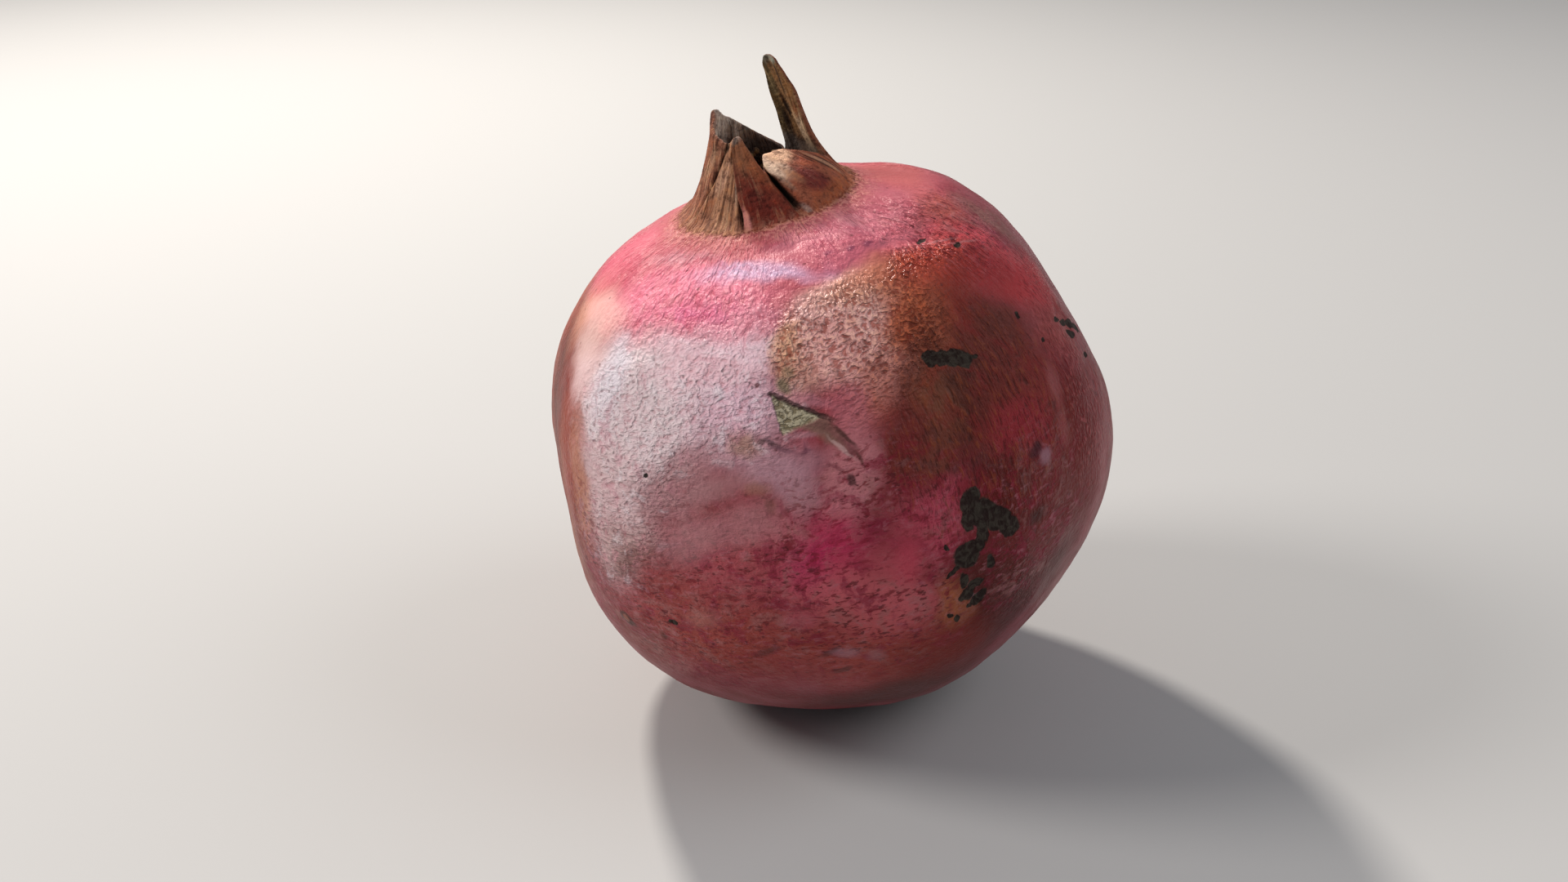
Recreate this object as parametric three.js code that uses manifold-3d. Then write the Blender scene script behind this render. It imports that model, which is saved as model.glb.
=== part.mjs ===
// A whole pomegranate: a nearly round fruit with soft flats, a stem scar below and its dry calyx crown above.
// It leans a little on the small flat spot that it rests on. Millimetres, +Z up.
// The origin is the middle of that flat spot. Azimuth 0 is the fruit's front, -Y, and grows towards +X.
import * as THREE from "three";
import { mergeVertices } from "three/addons/utils/BufferGeometryUtils.js";
import Module from "manifold-3d";

const DEG = Math.PI / 180;

// The fruit's body, in its own frame: its axis is +Z, from the stem scar up to the crown.
const body = {
  radius: 44.2, // from the fruit's middle to its skin, where nothing flattens it
  leanSide: 13, // degrees that the axis leans to the fruit's left
  leanFront: 4, // degrees that it leans forwards
  shoulderDip: 4.2, // how far the skin sinks round the crown
  shoulderSpread: 28, // degrees
  lobes: 6, // low ribs that run from crown to stem
  lobeHeight: 0.35,
  lobeTurn: 12, // degrees
  rows: 30, // from the stem scar to the foot of the crown
};

// Soft flats where the fruit grew against its neighbours: where each is, its depth and its angular spread.
const flats = [
  { azimuth: -77, elevation: 8, depth: 2.6, spread: 21 },
  { azimuth: -9, elevation: -52, depth: 2.3, spread: 27 },
  { azimuth: 56, elevation: -34, depth: 2.4, spread: 26 },
  { azimuth: 91, elevation: 20, depth: 2.4, spread: 20 },
  { azimuth: 150, elevation: 69, depth: 0.6, spread: 24 },
  { azimuth: 84, elevation: -12, depth: 0.4, spread: 45 },
  { azimuth: -31, elevation: 30, depth: 0.7, spread: 17 },
  { azimuth: 160, elevation: 4, depth: 2.2, spread: 26 },
  { azimuth: -140, elevation: -14, depth: 2.0, spread: 24 },
  { azimuth: -128, elevation: 42, depth: 1.4, spread: 20 },
  { azimuth: 122, elevation: -44, depth: 1.6, spread: 22 },
];

// The place that it rests on, straight below the fruit's middle once it leans.
const restSpot = {
  press: 0.8, // the skin's own flattening there
  spread: 22, // degrees
  sunk: 1.1, // how much of the skin lies in the flat
};

// The dimple round the stem scar, and the scar itself, in degrees from the stem pole.
const stem = { dimple: 2.2, dimpleSpread: 7.5, scar: 1.6, scarWidth: 3.6, rowCrowding: 1.2 };

// The crown's wall, by height above its foot plane. The wall leans in as it rises.
const crown = {
  footHeight: 39.5, // from the fruit's middle
  filletFrom: 26, // degrees from the axis, where the skin starts to turn up
  filletRadius: 14.0, // where the turn is sharpest
  filletRise: 0.45, // of the turn, above the skin there
  filletRows: 4,
  wallFrom: 0.8, // height
  wallRadius: 12.7,
  footThickness: 2.7,
  thinning: 0.3, // thickness lost for each millimetre of height
  edgeThickness: 1.1,
  edgeRound: 0.3,
  wallRows: 8,
  innerRows: 6,
  innerFrom: 0.8,
  blend: 0.5, // share of the next sepal's lean at the notch between the two
  blendPower: 3, // how closely that share keeps to the notch
};

// The cup's floor, from the wall inwards: radius and height.
const floorRings = [
  { radius: 8.2, height: -0.5 },
  { radius: 5.2, height: -1.2 },
  { radius: 2.4, height: -1.5 },
];
const floorHeight = -1.6;

// The six sepals in order round the crown. Each starts at its gap, the azimuth and height of the notch before it.
// peak is where its top lies between its gap and the next one. point shapes its sides: 1 is straight, more is
// blunter. taper over 1 draws it out to a spike. bend under 1 turns it in near the foot, over 1 near the tip.
// swing leans its tip round the crown, in degrees.
const sepals = [
  {
    gap: -19, notch: 10.2, height: 11.3, peak: 0.5, point: 2.2, taper: 1.1,
    tipRadius: 4.6, bend: 1.0, swing: -19, columns: 12,
  },
  {
    gap: 22, notch: 6.6, height: 8.1, peak: 0.35, point: 4.0, taper: 1.7,
    tipRadius: 4.7, bend: 1.3, swing: -17, columns: 20,
  },
  {
    gap: 95, notch: 4.2, height: 18.9, peak: 0.5, point: 2.4, taper: 1.4,
    tipRadius: 8.0, bend: 0.35, swing: 20, columns: 18,
  },
  {
    gap: 157, notch: 3.9, height: 11.6, peak: 0.96, point: 1.2, taper: 1.0,
    tipRadius: 7.0, bend: 0.8, swing: 0, columns: 12,
  },
  {
    gap: 211, notch: 11.7, height: 14.3, peak: 0.41, point: 1.7, taper: 1.0,
    tipRadius: 4.4, bend: 0.65, swing: -2, columns: 22,
  },
  {
    gap: 322, notch: 10.6, height: 11.4, peak: 0.3, point: 1.9, taper: 1.0,
    tipRadius: 5.0, bend: 0.7, swing: 12, columns: 10,
  },
];

// The dry stamens that line the cup, and the stub of the style in its middle.
const stamens = {
  count: 30,
  rings: 2,
  rootHeight: 1.2,
  rootDepth: 0.6, // share of the wall's thickness
  ringRise: 1.4,
  length: 4.8,
  thickness: 0.45, // radius
  headRadius: 0.62,
  headLength: 1.3,
  lengthSpread: [0.8, 0.3], // the least, and what chance adds to it
  leanIn: 74, // degrees from upright
  wander: 16, // degrees up and down
  headingWander: 32, // degrees round
  spacingWander: 0.6, // share of the spacing
  sides: 5,
  seed: 7,
};
const style = { radius: 0.9, tipRadius: 1.2, height: 3.2, sunk: 2.0, sides: 7 };

const lean = new THREE.Quaternion().setFromEuler(
  new THREE.Euler(body.leanFront * DEG, -body.leanSide * DEG, 0, "YXZ"),
);
const down = new THREE.Vector3(0, 0, -1).applyQuaternion(lean.clone().invert());

function direction(azimuth, elevation) {
  const a = azimuth * DEG;
  const e = elevation * DEG;
  return new THREE.Vector3(Math.sin(a) * Math.cos(e), -Math.cos(a) * Math.cos(e), Math.sin(e));
}

// A bell curve: 1 at its middle, and nearly 0 past twice its spread.
function bell(distance, spread) {
  return Math.exp(-((distance / spread) ** 2));
}

function degreesBetween(a, b) {
  return Math.acos(THREE.MathUtils.clamp(a.dot(b), -1, 1)) / DEG;
}

for (const flat of flats) flat.towards = direction(flat.azimuth, flat.elevation);

// How far the skin is from the fruit's middle, in a direction of the fruit's own frame.
function skinRadius(towards) {
  const fromCrown = Math.acos(THREE.MathUtils.clamp(towards.z, -1, 1)) / DEG;
  const fromStem = 180 - fromCrown;
  const azimuth = Math.atan2(towards.x, -towards.y);
  let radius = body.radius;
  for (const flat of flats) radius -= flat.depth * bell(degreesBetween(towards, flat.towards), flat.spread);
  radius -= body.shoulderDip * bell(fromCrown, body.shoulderSpread);
  radius -= restSpot.press * bell(degreesBetween(towards, down), restSpot.spread);
  const ribs = Math.cos(body.lobes * (azimuth - body.lobeTurn * DEG));
  radius += body.lobeHeight * ribs * Math.sin(fromCrown * DEG) ** 2;
  radius -= stem.dimple * bell(fromStem, stem.dimpleSpread);
  radius += stem.scar * bell(fromStem, stem.scarWidth);
  return radius;
}

const middleHeight = skinRadius(down) - restSpot.sunk;

// From the fruit's own frame to the part's, with the rest spot pressed flat.
function place(point) {
  const placed = point.clone().applyQuaternion(lean);
  placed.z = Math.max(0, placed.z + middleHeight);
  return placed;
}

// A point of the crown, by its radius and azimuth about the axis and its height above the foot plane.
function crownPoint(radius, azimuth, height) {
  return direction(azimuth, 0).multiplyScalar(radius).setZ(crown.footHeight + height);
}

function skinPoint(fromCrown, azimuth) {
  const towards = direction(azimuth, 90 - fromCrown);
  return towards.multiplyScalar(skinRadius(towards));
}

// The sepal at an azimuth, and where the azimuth lies on it. across is 0 at its peak and 1 at the notch on either
// side. The wall's shape fades towards the next sepal's as the notch comes near.
function columnAt(azimuth) {
  const turn = (from) => (((azimuth - from) % 360) + 360) % 360;
  const i = sepals.findIndex((s, k) => turn(s.gap) < (sepals[(k + 1) % sepals.length].gap - s.gap + 360) % 360);
  const sepal = sepals[i];
  const next = sepals[(i + 1) % sepals.length];
  const share = turn(sepal.gap) / ((next.gap - sepal.gap + 360) % 360);
  const before = share < sepal.peak;
  const across = before ? 1 - share / sepal.peak : (share - sepal.peak) / (1 - sepal.peak);
  const notch = before ? sepal.notch : next.notch;
  const rim = notch + (sepal.height - notch) * (1 - across ** sepal.point) ** sepal.taper;
  const neighbour = before ? sepals.at(i - 1) : next;
  return { azimuth, sepal, neighbour, fade: crown.blend * across ** crown.blendPower, rim };
}

// How far a sepal's wall leans in at a height, and how far its tip leans round the crown.
function wallLean(sepal, height) {
  const up = THREE.MathUtils.clamp((height - crown.wallFrom) / (sepal.height - crown.wallFrom), 0, 1);
  return { inwards: (crown.wallRadius - sepal.tipRadius) * up ** sepal.bend, round: sepal.swing * up ** 2 };
}

// The wall's outer face on a column, at a height, moved inwards by depth.
function wallPoint({ azimuth, sepal, neighbour, fade }, height, depth = 0) {
  const own = wallLean(sepal, height);
  const beside = wallLean(neighbour, height);
  const radius = crown.wallRadius - THREE.MathUtils.lerp(own.inwards, beside.inwards, fade);
  return crownPoint(radius - depth, azimuth + THREE.MathUtils.lerp(own.round, beside.round, fade), height);
}

function wallThickness(height) {
  return Math.max(crown.edgeThickness, crown.footThickness - crown.thinning * Math.max(0, height));
}

// The columns that run up the fruit: each sepal has its own, evenly spaced from its notch to the next.
function columnAzimuths() {
  return sepals.flatMap((sepal, i) => {
    const width = (sepals[(i + 1) % sepals.length].gap - sepal.gap + 360) % 360;
    return Array.from({ length: sepal.columns }, (_, c) => sepal.gap + (width * c) / sepal.columns);
  });
}

// One column of points: up the skin, through the fillet, up the crown's wall, over its edge, down inside and in.
function columnPoints(column) {
  const { azimuth, rim } = column;
  const points = [];
  for (let i = 1; i <= body.rows; i++) {
    const share = (i / body.rows) ** stem.rowCrowding;
    points.push(skinPoint(180 - (180 - crown.filletFrom) * share, azimuth));
  }
  const turnAngle = Math.asin(crown.filletRadius / body.radius) / DEG;
  const turn = skinPoint(turnAngle, azimuth);
  turn.z += crown.filletRise;
  const fillet = new THREE.QuadraticBezierCurve3(points.at(-1), turn, wallPoint(column, crown.wallFrom));
  for (let i = 1; i <= crown.filletRows; i++) points.push(fillet.getPoint(i / crown.filletRows));
  const top = rim - crown.edgeRound;
  for (let i = 1; i <= crown.wallRows; i++) {
    points.push(wallPoint(column, THREE.MathUtils.lerp(crown.wallFrom, top, i / crown.wallRows)));
  }
  points.push(wallPoint(column, rim, wallThickness(rim) / 2));
  for (let i = 0; i < crown.innerRows; i++) {
    const height = THREE.MathUtils.lerp(top, crown.innerFrom, i / (crown.innerRows - 1));
    points.push(wallPoint(column, height, wallThickness(height)));
  }
  for (const ring of floorRings) points.push(crownPoint(ring.radius, azimuth, ring.height));
  return points;
}

// The whole fruit as one closed surface: the columns side by side, with a point at each end to close it.
function fruitGeometry() {
  const columns = columnAzimuths().map(columnAt).map(columnPoints);
  const rows = columns[0].length;
  const points = columns.flat();
  const stemPole = points.push(skinPoint(180, 0)) - 1;
  const floorPole = points.push(crownPoint(0, 0, floorHeight)) - 1;
  const faces = [];
  columns.forEach((_, c) => {
    const here = c * rows;
    const next = ((c + 1) % columns.length) * rows;
    faces.push(stemPole, next, here, floorPole, here + rows - 1, next + rows - 1);
    for (let r = 0; r < rows - 1; r++) {
      faces.push(here + r, next + r, next + r + 1, here + r, next + r + 1, here + r + 1);
    }
  });
  const geometry = new THREE.BufferGeometry().setFromPoints(points.map(place));
  return geometry.setIndex(faces);
}

// The same draw of numbers from 0 to 1 each time, for the stamens' small differences.
function seededDraw(seed) {
  let state = seed;
  return () => {
    state = (state * 16807) % 2147483647;
    return state / 2147483647;
  };
}

// A stamen: a thin filament with its root sunk in the wall and a swollen head, along +Z from its root.
function stamenProfile(length) {
  const { thickness, headRadius, headLength } = stamens;
  return [
    new THREE.Vector2(0, 0),
    new THREE.Vector2(thickness, 0),
    new THREE.Vector2(thickness, length - headLength),
    new THREE.Vector2(headRadius, length - headLength / 2),
    new THREE.Vector2(0, length),
  ];
}

function stamenGeometries() {
  const draw = seededDraw(stamens.seed);
  const up = new THREE.Vector3(0, 0, 1);
  const made = [];
  for (let i = 0; i < stamens.count; i++) {
    const azimuth = (i + stamens.spacingWander * draw()) * (360 / stamens.count);
    const ring = i % stamens.rings;
    const elevation = 90 - stamens.leanIn + (draw() - 0.5) * stamens.wander + ring * stamens.wander;
    const heading = azimuth + 180 + (draw() - 0.5) * stamens.headingWander;
    const length = stamens.length * (stamens.lengthSpread[0] + stamens.lengthSpread[1] * draw());
    const geometry = new THREE.LatheGeometry(stamenProfile(length), stamens.sides);
    geometry.rotateX(Math.PI / 2);
    geometry.applyQuaternion(new THREE.Quaternion().setFromUnitVectors(up, direction(heading, elevation)));
    const height = stamens.rootHeight + ring * stamens.ringRise;
    const root = wallPoint(columnAt(azimuth), height, wallThickness(height) * stamens.rootDepth);
    made.push(geometry.translate(root.x, root.y, root.z));
  }
  return made;
}

function styleGeometry() {
  const { radius, tipRadius, height, sunk, sides } = style;
  const geometry = new THREE.CylinderGeometry(tipRadius, radius, height + sunk, sides);
  geometry.rotateX(Math.PI / 2);
  return geometry.translate(0, 0, crown.footHeight + floorHeight + (height - sunk) / 2);
}

const wasm = await Module();
wasm.setup();

function toSolid(geometry) {
  const bare = geometry.clone();
  bare.deleteAttribute("normal");
  bare.deleteAttribute("uv");
  const merged = mergeVertices(bare, 1e-4);
  const vertProperties = merged.attributes.position.array;
  return new wasm.Manifold(new wasm.Mesh({ numProp: 3, vertProperties, triVerts: new Uint32Array(merged.index.array) }));
}

function toGeometry(solid) {
  const mesh = solid.getMesh();
  const geometry = new THREE.BufferGeometry();
  geometry.setAttribute("position", new THREE.BufferAttribute(mesh.vertProperties, 3));
  geometry.setIndex(new THREE.BufferAttribute(mesh.triVerts, 1));
  geometry.computeVertexNormals();
  return geometry;
}

// The stamens and the style grow out of the cup, so they are one body with the fruit.
function pomegranateGeometry() {
  const inPlace = new THREE.Matrix4().compose(new THREE.Vector3(0, 0, middleHeight), lean, new THREE.Vector3(1, 1, 1));
  let fruit = toSolid(fruitGeometry());
  for (const piece of [...stamenGeometries(), styleGeometry()]) {
    fruit = fruit.add(toSolid(piece.applyMatrix4(inPlace)));
  }
  return toGeometry(fruit);
}

const rind = new THREE.MeshStandardMaterial({ color: 0xb04a4c, roughness: 0.5, metalness: 0 });
const pomegranate = new THREE.Mesh(pomegranateGeometry(), rind);
pomegranate.name = "pomegranate";

const part = new THREE.Group();
part.add(pomegranate);
export default part;
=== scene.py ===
import bmesh
import bpy
import math
import random
from mathutils import Euler, Matrix, Vector, noise


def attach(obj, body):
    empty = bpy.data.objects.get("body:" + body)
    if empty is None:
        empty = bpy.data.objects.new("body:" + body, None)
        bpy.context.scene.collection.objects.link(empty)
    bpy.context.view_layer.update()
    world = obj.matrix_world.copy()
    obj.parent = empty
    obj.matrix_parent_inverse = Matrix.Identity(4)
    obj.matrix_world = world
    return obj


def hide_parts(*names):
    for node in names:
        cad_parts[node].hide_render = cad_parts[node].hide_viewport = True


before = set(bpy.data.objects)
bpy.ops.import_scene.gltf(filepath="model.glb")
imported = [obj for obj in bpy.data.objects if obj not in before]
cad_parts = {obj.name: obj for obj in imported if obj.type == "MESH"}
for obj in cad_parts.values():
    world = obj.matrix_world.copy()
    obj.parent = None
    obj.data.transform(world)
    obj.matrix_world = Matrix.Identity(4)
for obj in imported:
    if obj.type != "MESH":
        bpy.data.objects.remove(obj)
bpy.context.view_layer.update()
bpy.context.scene.view_settings.view_transform = "Standard"
mm = 0.001

# The fruit's own frame: its axis is +Z, from the stem scar up to the crown. Azimuth 0 is its front, -Y,
# and grows towards +X. Lengths are millimetres and angles degrees until a point is placed.

# The shape of the rind.
rind = {
    "radius": 44.2,          # from the fruit's middle to its skin, where nothing flattens it
    "leanSide": 13,          # how far the axis leans to the fruit's left
    "leanFront": 4,          # and forwards
    "shoulderDip": 4.2,      # how far the skin sinks round the crown
    "shoulderSpread": 28,
    "lobes": 6,              # low ribs from crown to stem
    "lobeHeight": 0.35,
    "lobeTurn": 12,
    "restPress": 0.8,        # the skin's own flattening where it rests
    "restSpread": 22,
    "restSunk": 1.1,         # how much of the skin lies in the flat
    "stemDimple": 2.2,
    "stemDimpleSpread": 7.5,
    "stemScar": 1.6,
    "stemScarWidth": 3.6,
    "skinRows": 152,
    "rowCrowding": 1.2,      # over 1 packs the rows towards the stem
    "swell": 0.32,           # soft unevenness, and the size of its swells
    "swellSize": 15,
    "dimple": 0.16,
    "dimpleSize": 5.5,
    "grain": 0.05,
    "grainSize": 1.9,
    "ridgeFade": (12, 6),    # how far a shoulder ridge fades below and above the end of its reach
    "spotEdge": (0.65, 1.15),    # where the edge of a dry spot starts and ends, as shares of its size
    "spotFray": 0.35,
    "spotFraySize": 1.6,
    "spotNear": 0.96,        # cosine of the angle past which a dry spot can't reach
}

# Soft flats where the fruit grew against its neighbours: azimuth, elevation, depth, spread.
flats = [
    (-77, 8, 2.6, 21), (-9, -52, 2.3, 27), (56, -34, 2.4, 26), (91, 20, 2.4, 20), (150, 69, 0.6, 24),
    (84, -12, 0.4, 45), (-31, 30, 0.7, 17), (160, 4, 2.2, 26), (-140, -14, 2.0, 24), (-128, 42, 1.4, 20),
    (122, -44, 1.6, 22),
]

# Ridges from the crown over the shoulder: azimuth, height, half width, and the elevation where they end.
shoulderRidges = [
    (38, 0.40, 5, 52), (54, -0.35, 6, 50), (68, 0.45, 6, 46), (84, -0.25, 6, 50), (-72, 0.25, 7, 52),
]

# The crown's wall, by height above its foot plane.
crown = {
    "footHeight": 39.5,      # from the fruit's middle
    "filletFrom": 26,        # from the axis, where the skin starts to turn up
    "filletRadius": 14.0,
    "filletRise": 0.45,
    "filletDrop": 5.5,       # how far along the skin the fillet starts below the foot plane
    "filletRows": 9,
    "wallFrom": 0.8,
    "wallRadius": 12.7,
    "footThickness": 2.7,
    "thinning": 0.3,         # thickness lost for each millimetre of height
    "edgeThickness": 1.1,
    "edgeThinning": 0.45,    # share of the thickness lost at the very edge
    "wallRows": 28,
    "rimRows": 4,
    "innerRows": 20,
    "innerFrom": 0.8,
    "floorRows": 7,
    "floorHeight": -1.6,
    "floorRise": 1.6,        # from the floor's middle up to the wall's foot
    "striation": 0.17,       # fine upright ridges of the dry wall, and their spacing
    "striationWidth": 0.75,
    "furrow": 0.26,
    "furrowWidth": 2.3,
    "grainStretch": 0.12,    # how much height counts in them: under 1 draws them out upwards
    "crumple": 0.45,         # how far a dry sepal buckles at its edge
    "crumpleSize": 4.5,
    "seamHeight": 10,        # where a slanting seam reaches the azimuth of its notch
    "lapWidth": 9,           # degrees of a sepal that its lap lifts
    "knuckle": 1.3,          # the bulge of the broad front sepal, and where it lies
    "knuckleAcross": 0.6,
    "knuckleHeight": 4.8,
    "knuckleSpread": 2.8,
    # the colour of the painted shade in the folds along the seams
    "foldShadeColour": "15100c",
}

# The six sepals in order round the crown, each from the seam before it, which runs from an azimuth at the
# foot to the gap at the rim. The faces' colours are outer and inner, and striped is how strongly dry
# fibres show.
sepals = [
    {"gap": -19, "foot": -14, "notch": 10.2, "height": 11.3, "peak": 0.56, "point": 2.2, "taper": 1.1,
     "tipRadius": 4.6, "bend": 1.0, "swing": -20, "columns": 60,
     "outer": "6c3024", "inner": "4c352b", "striped": 0.25},
    {"gap": 18, "foot": 27, "notch": 6.6, "height": 8.1, "peak": 0.38, "point": 4.0, "taper": 1.7,
     "tipRadius": 4.7, "bend": 1.3, "swing": -17, "columns": 86,
     "outer": "985640", "inner": "4c352b", "striped": 0.15},
    {"gap": 95, "foot": 95, "notch": 4.2, "height": 18.9, "peak": 0.5, "point": 2.4, "taper": 1.4,
     "tipRadius": 8.0, "bend": 0.35, "swing": 20, "columns": 72,
     "outer": "7c4a34", "inner": "84603f", "striped": 0.35},
    # the far and left sepals are pale inside partly as painted light, for inner faces that lie in shade
    {"gap": 157, "foot": 157, "notch": 3.9, "height": 11.6, "peak": 0.96, "point": 1.2, "taper": 1.0,
     "tipRadius": 7.0, "bend": 0.8, "swing": 0, "columns": 54,
     "outer": "865642", "inner": "a89488", "striped": 0.9},
    {"gap": 211, "foot": 211, "notch": 11.7, "height": 14.3, "peak": 0.41, "point": 1.3, "taper": 1.0,
     "tipRadius": 4.4, "bend": 0.65, "swing": -2, "columns": 98,
     "outer": "98604a", "inner": "a48c80", "striped": 0.9},
    {"gap": 322, "foot": 292, "notch": 10.6, "height": 11.4, "peak": 0.30, "point": 1.5, "taper": 1.0,
     "tipRadius": 5.0, "bend": 0.7, "swing": 10, "columns": 38,
     "outer": "ae7c5e", "inner": "4e3c34", "striped": 0.9},
]

# The sepals' own numbers in the lists below.
broadSepal = 1
tallSepal = 2

# The tall sepal is rolled: its inner face has a trough along it, beside a fold. Places and widths are
# shares of the sepal's width, and the heights where the roll starts and is full are shares of its height.
roll = {
    "depth": 0.35,
    "trough": 0.56,
    "troughWidth": 0.10,
    "fold": 0.40,
    "foldWidth": 0.07,
    "foldShare": 0.8,        # of the trough's depth
    "from": 0.15,
    "full": 0.5,
}

# Folds along the seams: sepal after the seam, from and to a height, half width in degrees, depth,
# strength of the painted shade in the fold, and the lap, which lifts the sepal after the seam, or the one
# before it when negative.
folds = [
    (0, 0.7, 3.8, 1.3, 0.9, 0.95, 0.0),
    (0, 3.0, 12.0, 0.7, 0.1, 0.35, 0.55),
    (1, 1.2, 5.6, 3.8, 2.2, 1.0, -0.3),
    (1, 3.4, 6.9, 1.5, 0.8, 0.9, 0.0),
    (2, 0.5, 5.0, 2.5, 0.6, 0.5, 0.0),
    (3, 0.5, 4.5, 3.0, 0.8, 0.6, 0.0),
    (4, 0.5, 11.0, 3.0, 0.8, 0.6, 0.0),
    (5, 1.5, 12.0, 1.8, 0.7, 0.95, 0.25),
]

# Colours of parts of the sepals, laid over those of their faces: sepal, face (1 inside), share of its
# width, height, half width as a share, half height, strength, colour.
dabs = [
    # the narrow front sepal: tan above, deep red below, with a pink membrane at its left foot
    (0, 0, 0.50, 10.5, 0.70, 4.5, 0.80, "8c5c40"),
    (0, 0, 0.75, 6.4, 0.30, 4.5, 0.55, "9a5838"),
    (0, 0, 0.50, 3.6, 0.55, 3.2, 0.75, "64201a"),
    (0, 0, 0.60, 0.5, 0.40, 1.2, 0.70, "84382e"),
    (0, 0, 0.10, 1.6, 0.09, 2.2, 0.95, "cc8078"),
    (0, 0, 0.30, 11.2, 0.50, 0.8, 0.70, "8c8078"),
    # the broad front sepal: cream at its upper left, partly a painted highlight, maroon in the middle,
    # orange brown at its foot
    (1, 0, 0.16, 6.9, 0.22, 2.2, 0.90, "f4d0b4"),
    (1, 0, 0.42, 7.9, 0.32, 1.5, 0.90, "fcc8a4"),
    (1, 0, 0.10, 4.8, 0.06, 1.4, 0.60, "8c7464"),
    (1, 0, 0.36, 4.2, 0.20, 2.4, 0.90, "6c2c2a"),
    (1, 0, 0.24, 5.4, 0.08, 1.6, 0.55, "b07a5c"),
    (1, 0, 0.58, 5.8, 0.16, 1.4, 0.60, "8c4434"),
    (1, 0, 0.55, 1.2, 0.50, 1.9, 0.75, "a45a38"),
    (1, 0, 0.66, 6.2, 0.022, 1.6, 0.85, "3a2018"),
    (1, 0, 0.71, 5.0, 0.026, 2.8, 0.85, "2c1c16"),
    (1, 0, 0.75, 4.4, 0.03, 3.0, 0.60, "c49a7c"),
    (1, 0, 0.79, 3.8, 0.03, 3.2, 0.85, "34221a"),
    (1, 0, 0.87, 3.6, 0.04, 2.6, 0.70, "44281c"),
    (1, 0, 0.06, 1.0, 0.04, 1.2, 0.60, "8c8480"),
    # the tall spike's inner face: an olive strip, partly darkened as painted shade, painted shade along its
    # fold, and a tan strip with rusty patches
    (2, 1, 0.86, 12.0, 0.24, 10.0, 0.90, "685638"),
    (2, 1, 0.68, 15.5, 0.10, 4.0, 0.80, "847250"),
    (2, 1, 0.40, 16.6, 0.05, 2.6, 0.95, "241a12"),
    (2, 1, 0.48, 13.8, 0.05, 2.6, 0.95, "1e1610"),
    (2, 1, 0.60, 11.2, 0.06, 2.6, 0.95, "1e1610"),
    (2, 1, 0.70, 8.8, 0.07, 2.6, 0.90, "28201a"),
    (2, 1, 0.30, 7.0, 0.26, 4.6, 0.85, "e4c09c"),
    (2, 1, 0.28, 11.0, 0.06, 1.8, 0.70, "7c4020"),
    (2, 1, 0.40, 8.6, 0.06, 1.2, 0.50, "9c6440"),
    (2, 1, 0.50, 18.6, 0.50, 1.0, 0.90, "a4a490"),
    (2, 1, 0.84, 5.2, 0.24, 2.4, 0.90, "6c6864"),
    # the far rim is pale and grey green inside, and the left tip's inner face is wrinkled, with painted
    # light that makes it pale as if lit
    (3, 1, 0.50, 8.8, 0.60, 0.8, 0.60, "8c8c7c"),
    (3, 1, 0.86, 9.6, 0.30, 2.8, 0.95, "ffe8d4"),
    (4, 1, 0.06, 10.6, 0.16, 3.2, 0.95, "ffe8d4"),
    (4, 1, 0.34, 11.8, 0.22, 3.0, 0.95, "ffe6d2"),
    (4, 1, 0.60, 11.8, 0.24, 2.0, 0.80, "c09480"),
    (5, 1, 0.50, 11.0, 0.50, 1.6, 0.70, "8c7c72"),
    # the left sepals: redder at their left, and grey along the right margin
    (4, 0, 0.58, 5.0, 0.20, 6.0, 0.50, "844434"),
    (4, 0, 0.41, 13.6, 0.30, 2.2, 0.85, "5c3428"),
    (4, 0, 0.85, 8.5, 0.10, 3.0, 0.55, "b08a6c"),
    (5, 0, 0.30, 6.6, 0.24, 2.6, 0.55, "dcac90"),
    (5, 0, 0.20, 2.5, 0.22, 3.0, 0.45, "8a4a36"),
    (5, 0, 0.90, 7.0, 0.10, 4.5, 0.75, "78706c"),
    (5, 0, 0.60, 10.9, 0.50, 1.0, 0.70, "948880"),
]

lean = Euler((math.radians(rind["leanFront"]), -math.radians(rind["leanSide"]), 0), "XYZ")
leanMatrix = lean.to_matrix()
down = leanMatrix.inverted() @ Vector((0, 0, -1))


def direction(azimuth, elevation):
    a = math.radians(azimuth)
    e = math.radians(elevation)
    return Vector((math.sin(a) * math.cos(e), -math.cos(a) * math.cos(e), math.sin(e)))


def bell(distance, spread):
    return math.exp(-((distance / spread) ** 2))


def clamp(value, low=0.0, high=1.0):
    return max(low, min(high, value))


def smooth(value, low, high):
    share = clamp((value - low) / (high - low))
    return share * share * (3 - 2 * share)


def lerp(a, b, share):
    return a + (b - a) * share


def degreesBetween(a, b):
    return math.degrees(math.acos(clamp(a.dot(b), -1, 1)))


# How far it is round from one azimuth to another, from -180 to 180.
def turnBetween(start, end):
    return (end - start + 180) % 360 - 180


flatPlaces = [(direction(azimuth, elevation), depth, spread) for azimuth, elevation, depth, spread in flats]


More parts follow.
